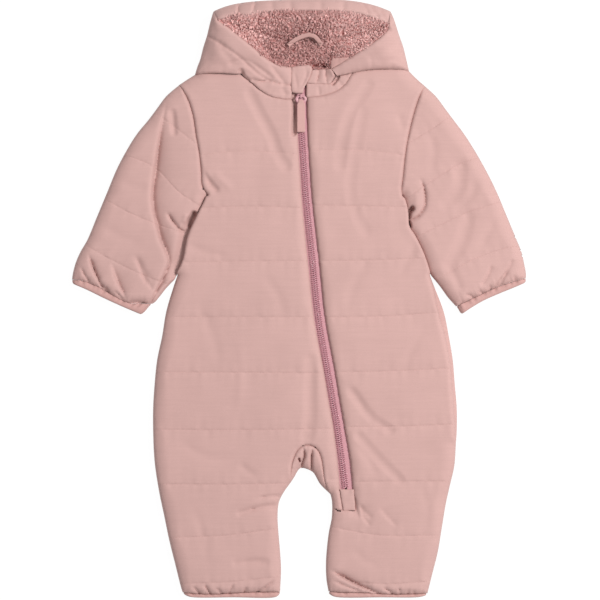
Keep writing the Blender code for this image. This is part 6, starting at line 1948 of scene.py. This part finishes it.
@dataclass
class Zip:
    """Woven tapes, two columns of moulded teeth and the patch over the lower end."""

    tooth_pitch: float = 2.4

    TOOTH = ((1.5, 3.0, 1.95, 2.25), (1.95, 1.6, 2.2, 0.5))  # root and head: three sizes, place across

    def build(self) -> dict[str, HeightLaw]:
        """Makes the tapes, teeth and patch.

        Returns:
            The patch's height law, for the thread on it.
        """
        teeth = zip_path(2)
        strips = {
            "zip_tape_right": zip_strip(zip_path(1), beside(teeth, -CHAIN_HALF / 3)),
            "zip_tape_left": zip_strip(np.vstack([(3.4, 244.0), beside(teeth, CHAIN_HALF / 3)]),
                                       np.vstack([(8.0, 244.0), zip_path(3)])),
        }
        for name, outline in strips.items():
            def law(points: Points) -> np.ndarray:
                gap = nearest_on(points, teeth).gap
                cord = 0.55 * bell(gap - 2.6, 0.8)
                ribs = 0.10 * np.cos(gap * math.tau / 0.9)
                return TAPE_TOP + 0.2 + cord + ribs - 0.5 * within(gap - 4.5, 3.0)

            mesh = PlanGrid(outline, 0.8).build()
            set_heights(mesh, law)
            add_skirt(mesh, level(FRONT_BASE + 1.2), rings=1)
            piece = Suit.finish("cloth_" + name, mesh, Finish.TAPE.dress(), "tape", [name])
            Suit.declare(piece, outline, ["back"], ease=1.05, allowance=2.5)
        self.build_teeth(teeth)
        return self.build_patch()

    def build_teeth(self, path: Points) -> None:
        """Makes both columns of teeth, each tooth a bevelled block with a head past the middle line."""
        length = run_of(path)[-1]
        mesh = bmesh.new()
        count = int((length - 1.5) / self.tooth_pitch)
        for number in range(2 * count):
            side = -1.0 if number % 2 else 1.0
            at = 1.0 + number * self.tooth_pitch / 2.0
            centre, ahead = place_at(path, np.array([at, min(at + 3.0, length)]))
            heading = math.atan2(*(ahead - centre)[::-1])
            turned = Matrix.Rotation(heading, 4, "Z")
            for long, width, high, shift in self.TOOTH:
                place = Matrix.Translation((*centre, TAPE_TOP + 0.25 + high / 2.0)) @ turned
                place = place @ Matrix.Translation((0.0, side * shift, 0.0))
                place = place @ Matrix.Diagonal((long, width, high, 1.0))
                bmesh.ops.create_cube(mesh, size=1.0, matrix=place)
        bmesh.ops.bevel(mesh, geom=mesh.edges[:], offset=0.32, offset_type="OFFSET", segments=1, profile=0.5,
                        affect="EDGES", material=-1, clamp_overlap=True)
        Suit.finish("moulded_teeth", mesh, Finish.TEETH.dress(), "teeth", ["zip_chain"], sharp=50.0)

    def build_patch(self) -> dict[str, HeightLaw]:
        """Makes the patch over the zip's lower end."""
        bottom, right_edge, _, left_edge = ZIP_ROWS[-1]
        top = bottom + 0.6
        outline = Outline(
            ("seam", np.array([(right_edge - 0.5, top), (48.8, -232.0), (50.9, -243.6)])),
            ("seam", np.array([(50.9, -243.6), (64.8, -243.2)])),
            ("seam", np.array([(64.8, -243.2), (64.2, -232.0), (left_edge + 1.2, top)])),
            ("seam", np.array([(left_edge + 1.2, top), (right_edge - 0.5, top)])),
        )

        def law(points: Points) -> np.ndarray:
            near = nearest_on(points, outline.ring())
            return 16.4 - 1.0 * rolled(near.gap, 3.5) + 0.25 * drift(points, 9.0, 51)

        mesh = PlanGrid(outline, 0.9).build()
        set_heights(mesh, law)
        add_skirt(mesh, level(FRONT_BASE))
        piece = Suit.finish("cloth_zip_end_patch", mesh, Finish.SHELL.dress(), "shell", ["zip_end_patch"])
        Suit.declare(piece, outline, ["back"], ease=1.05, allowance=6.0)
        return {"zip_end_patch": law}


@dataclass
class Pull:
    """The slider, its ring, and the folded ribbon that swings on it."""

    half_width: float = 4.6
    length: float = 41.2
    thickness: float = 0.95
    top: float = 3.95                               # how far below the hinge the ribbon begins
    ring: tuple[float, float] = (5.1, 3.1)          # half the width and length of the ring's middle line

    def build(self) -> None:
        """Dresses the hard pieces and makes the ribbon."""
        for socket in bpy.data.objects["zip_slider"].material_slots:
            socket.material = Finish.SLIDER.dress()
        self.build_ring()
        self.build_ribbon()

    def build_ring(self) -> None:
        """Makes the flat cast ring, narrow where it passes the slider's bail."""
        mesh = bmesh.new()
        bmesh.ops.create_grid(mesh, x_segments=56, y_segments=12, size=0.5)
        across, along, above = HINGE
        for vert in mesh.verts:
            turn = (vert.co.x + 0.5) * math.tau
            round_it = (vert.co.y + 0.5) * math.tau
            wide = 0.6 + 0.9 * (0.5 - 0.5 * math.tanh(5.0 * (math.sin(turn) - 0.85)))
            out = wide * math.copysign(abs(math.cos(round_it)) ** 0.7, math.cos(round_it))
            x = (self.ring[0] + out) * math.copysign(abs(math.cos(turn)) ** 0.85, math.cos(turn))
            y = (self.ring[1] + out) * math.copysign(abs(math.sin(turn)) ** 0.85, math.sin(turn))
            vert.co = (across + x, along + (y - self.ring[1]), above + 0.6 * math.sin(round_it))
        bmesh.ops.remove_doubles(mesh, verts=mesh.verts, dist=0.01)
        bmesh.ops.recalc_face_normals(mesh, faces=mesh.faces[:])
        Suit.finish("moulded_pull_ring", mesh, Finish.SLIDER.dress(), "slider", ["zip_pull_ring"],
                    body="pull")

    def build_ribbon(self) -> None:
        """Makes the ribbon from a grid rolled round its own outline: a loop at the ring, doubled below."""
        mesh = bmesh.new()
        rows, around = 44, 36
        bmesh.ops.create_grid(mesh, x_segments=around, y_segments=rows, size=0.5)
        across, along, above = HINGE
        for vert in mesh.verts:
            turn = (vert.co.x + 0.5) * math.tau
            share = 0.5 - vert.co.y
            run = self.top + share * (self.length - self.top)
            loop = math.exp(-(((run - 5.6) / 1.5) ** 2))
            narrow = 1.0 - 0.40 * (1.0 - min(max((run - 6.0) / 2.8, 0.0), 1.0))
            tip = min((self.length - run) / 0.8, 1.0, (run - self.top) / 0.5 + 0.25)
            thick = (self.thickness + 0.75 * loop) * max(tip, 0.12) ** 0.5
            width = self.half_width * narrow * (1.0 - 0.06 * (1.0 - tip))
            x = width * math.copysign(abs(math.cos(turn)) ** 0.22, math.cos(turn))
            z = thick * math.copysign(abs(math.sin(turn)) ** 0.5, math.sin(turn))
            dent = 0.16 * math.exp(-(((x - 3.3) / 0.4) ** 2)) if run > 9.0 else 0.0
            z -= math.copysign(dent, z)
            vert.co = (across + x, along - run, above + z)
        bmesh.ops.remove_doubles(mesh, verts=mesh.verts, dist=0.01)
        bmesh.ops.holes_fill(mesh, edges=[edge for edge in mesh.edges if edge.is_boundary], sides=0)
        bmesh.ops.recalc_face_normals(mesh, faces=mesh.faces[:])
        piece = Suit.finish("ribbon_zip_pull", mesh, Finish.PULL.dress(), "binding", ["zip_pull_tab"],
                            body="pull")


# ---------------------------------------------------------------------- thread
@dataclass
class Thread:
    """Machine stitches: short dashes of thread laid along lines on the cloth."""

    length: float = 2.2
    gap: float = 1.1
    radius: float = 0.14

    SUNK = (-0.16, 0.04, 0.04, -0.16)    # height above the cloth at each point of a stitch

    def sew(self, name: str, lines: Iterable[tuple[Points, HeightLaw]]) -> None:
        """Makes one piece of stitches.

        Args:
            name: the piece.
            lines: plan paths, each with the height law of the cloth below it.
        """
        knots = len(self.SUNK)
        stitches = []
        for path, law in lines:
            starts = np.arange(1.0, run_of(path)[-1] - self.length, self.length + self.gap)
            if not len(starts):
                continue
            at = starts[:, None] + self.length * np.linspace(0.0, 1.0, knots)
            plan = place_at(path, at.ravel()).reshape(-1, knots, 2)
            plan = plan[self.on_cloth(plan, law)].reshape(-1, 2)
            if len(plan):
                height = law(plan) + np.tile(self.SUNK, len(plan) // knots)
                stitches.extend(np.column_stack([plan, height]).reshape(-1, knots, 3))
        Suit.place(name, tubes(name, stitches, self.radius), Finish.THREAD.dress(), "binding")
        LOG.info("%s: %d stitches", name, len(stitches))

    @staticmethod
    def on_cloth(stitches: np.ndarray, law: HeightLaw) -> np.ndarray:
        """Whether each stitch lies wholly on its piece, where the law knows its outline."""
        outline = getattr(law, "outline", None)
        if outline is None:
            return np.ones(len(stitches), bool)
        ends = stitches.reshape(-1, 2)
        inside = is_inside(ends, outline.loop) & (outline.gap(ends) > 0.8)
        return inside.reshape(len(stitches), -1).all(axis=1)


# ---------------------------------------------------------------------- studio
@dataclass
class Studio:
    """White floor, soft light from the right and above, and a long lens straight above."""

    centre: tuple[float, float] = (0.00115, -0.00115)
    width: float = 0.690         # what the view takes in, metres
    distance: float = 5.75
    key: float = 123.5
    fill: float = 0.50

    def build(self) -> None:
        """Makes the floor, lights, world and camera."""
        mesh = bmesh.new()
        bmesh.ops.create_grid(mesh, x_segments=1, y_segments=1, size=6.0)
        bmesh.ops.translate(mesh, verts=mesh.verts, vec=(0.0, 0.0, -0.0004))
        data = bpy.data.meshes.new("studio_floor")
        mesh.to_mesh(data)
        mesh.free()
        data.materials.append(Finish.FLOOR.dress())
        floor = bpy.data.objects.new("studio_floor", data)
        bpy.context.scene.collection.objects.link(floor)
        self.light("key_light", Vector((1.75, 0.75, 2.75)), 1.0, self.key)
        world = bpy.data.worlds.new("studio_air")
        world.use_nodes = True
        air = world.node_tree.nodes["Background"]
        air.inputs["Color"].default_value = (1.0, 0.99, 0.98, 1.0)
        air.inputs["Strength"].default_value = self.fill
        bpy.context.scene.world = world
        camera_data = bpy.data.cameras.new("view")
        camera_data.sensor_width = 36.0
        camera_data.lens = 36.0 * self.distance / self.width
        camera_data.clip_end = 50.0
        camera = bpy.data.objects.new("view", camera_data)
        camera.location = (*self.centre, self.distance + 0.015)
        bpy.context.scene.collection.objects.link(camera)
        bpy.context.scene.camera = camera
        bpy.context.scene.view_settings.view_transform = "Standard"
        LOG.info("studio: ready")

    @staticmethod
    def light(name: str, place: Vector, size: float, power: float) -> None:
        """Adds a square area light that faces the suit."""
        data = bpy.data.lights.new(name, "AREA")
        data.shape = "SQUARE"
        data.size = size
        data.energy = power
        data.color = (1.0, 0.985, 0.965)
        lamp = bpy.data.objects.new(name, data)
        lamp.location = place
        lamp.rotation_euler = (-place).to_track_quat("-Z", "Y").to_euler()
        bpy.context.scene.collection.objects.link(lamp)


def main() -> None:
    """Loads the solids, builds every piece over them and sets up the studio."""
    logging.basicConfig(level=logging.INFO, format="%(name)s: %(message)s")
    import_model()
    Studio().build()
    laws = Body().build()
    laws.update(Sleeves().build())
    for binding in BINDINGS:
        binding.build()
    hood = Hood()
    laws.update(hood.build())
    PileLining(hood).build()
    Collar().build()
    laws.update(Zip().build())
    Pull().build()
    Thread().sew("quilting_thread", [(spline(knots, 1.0)[:, :2], laws[piece])
                                     for piece, lines in QUILTING.items() for knots in lines])


if __name__ == "__main__":
    main()
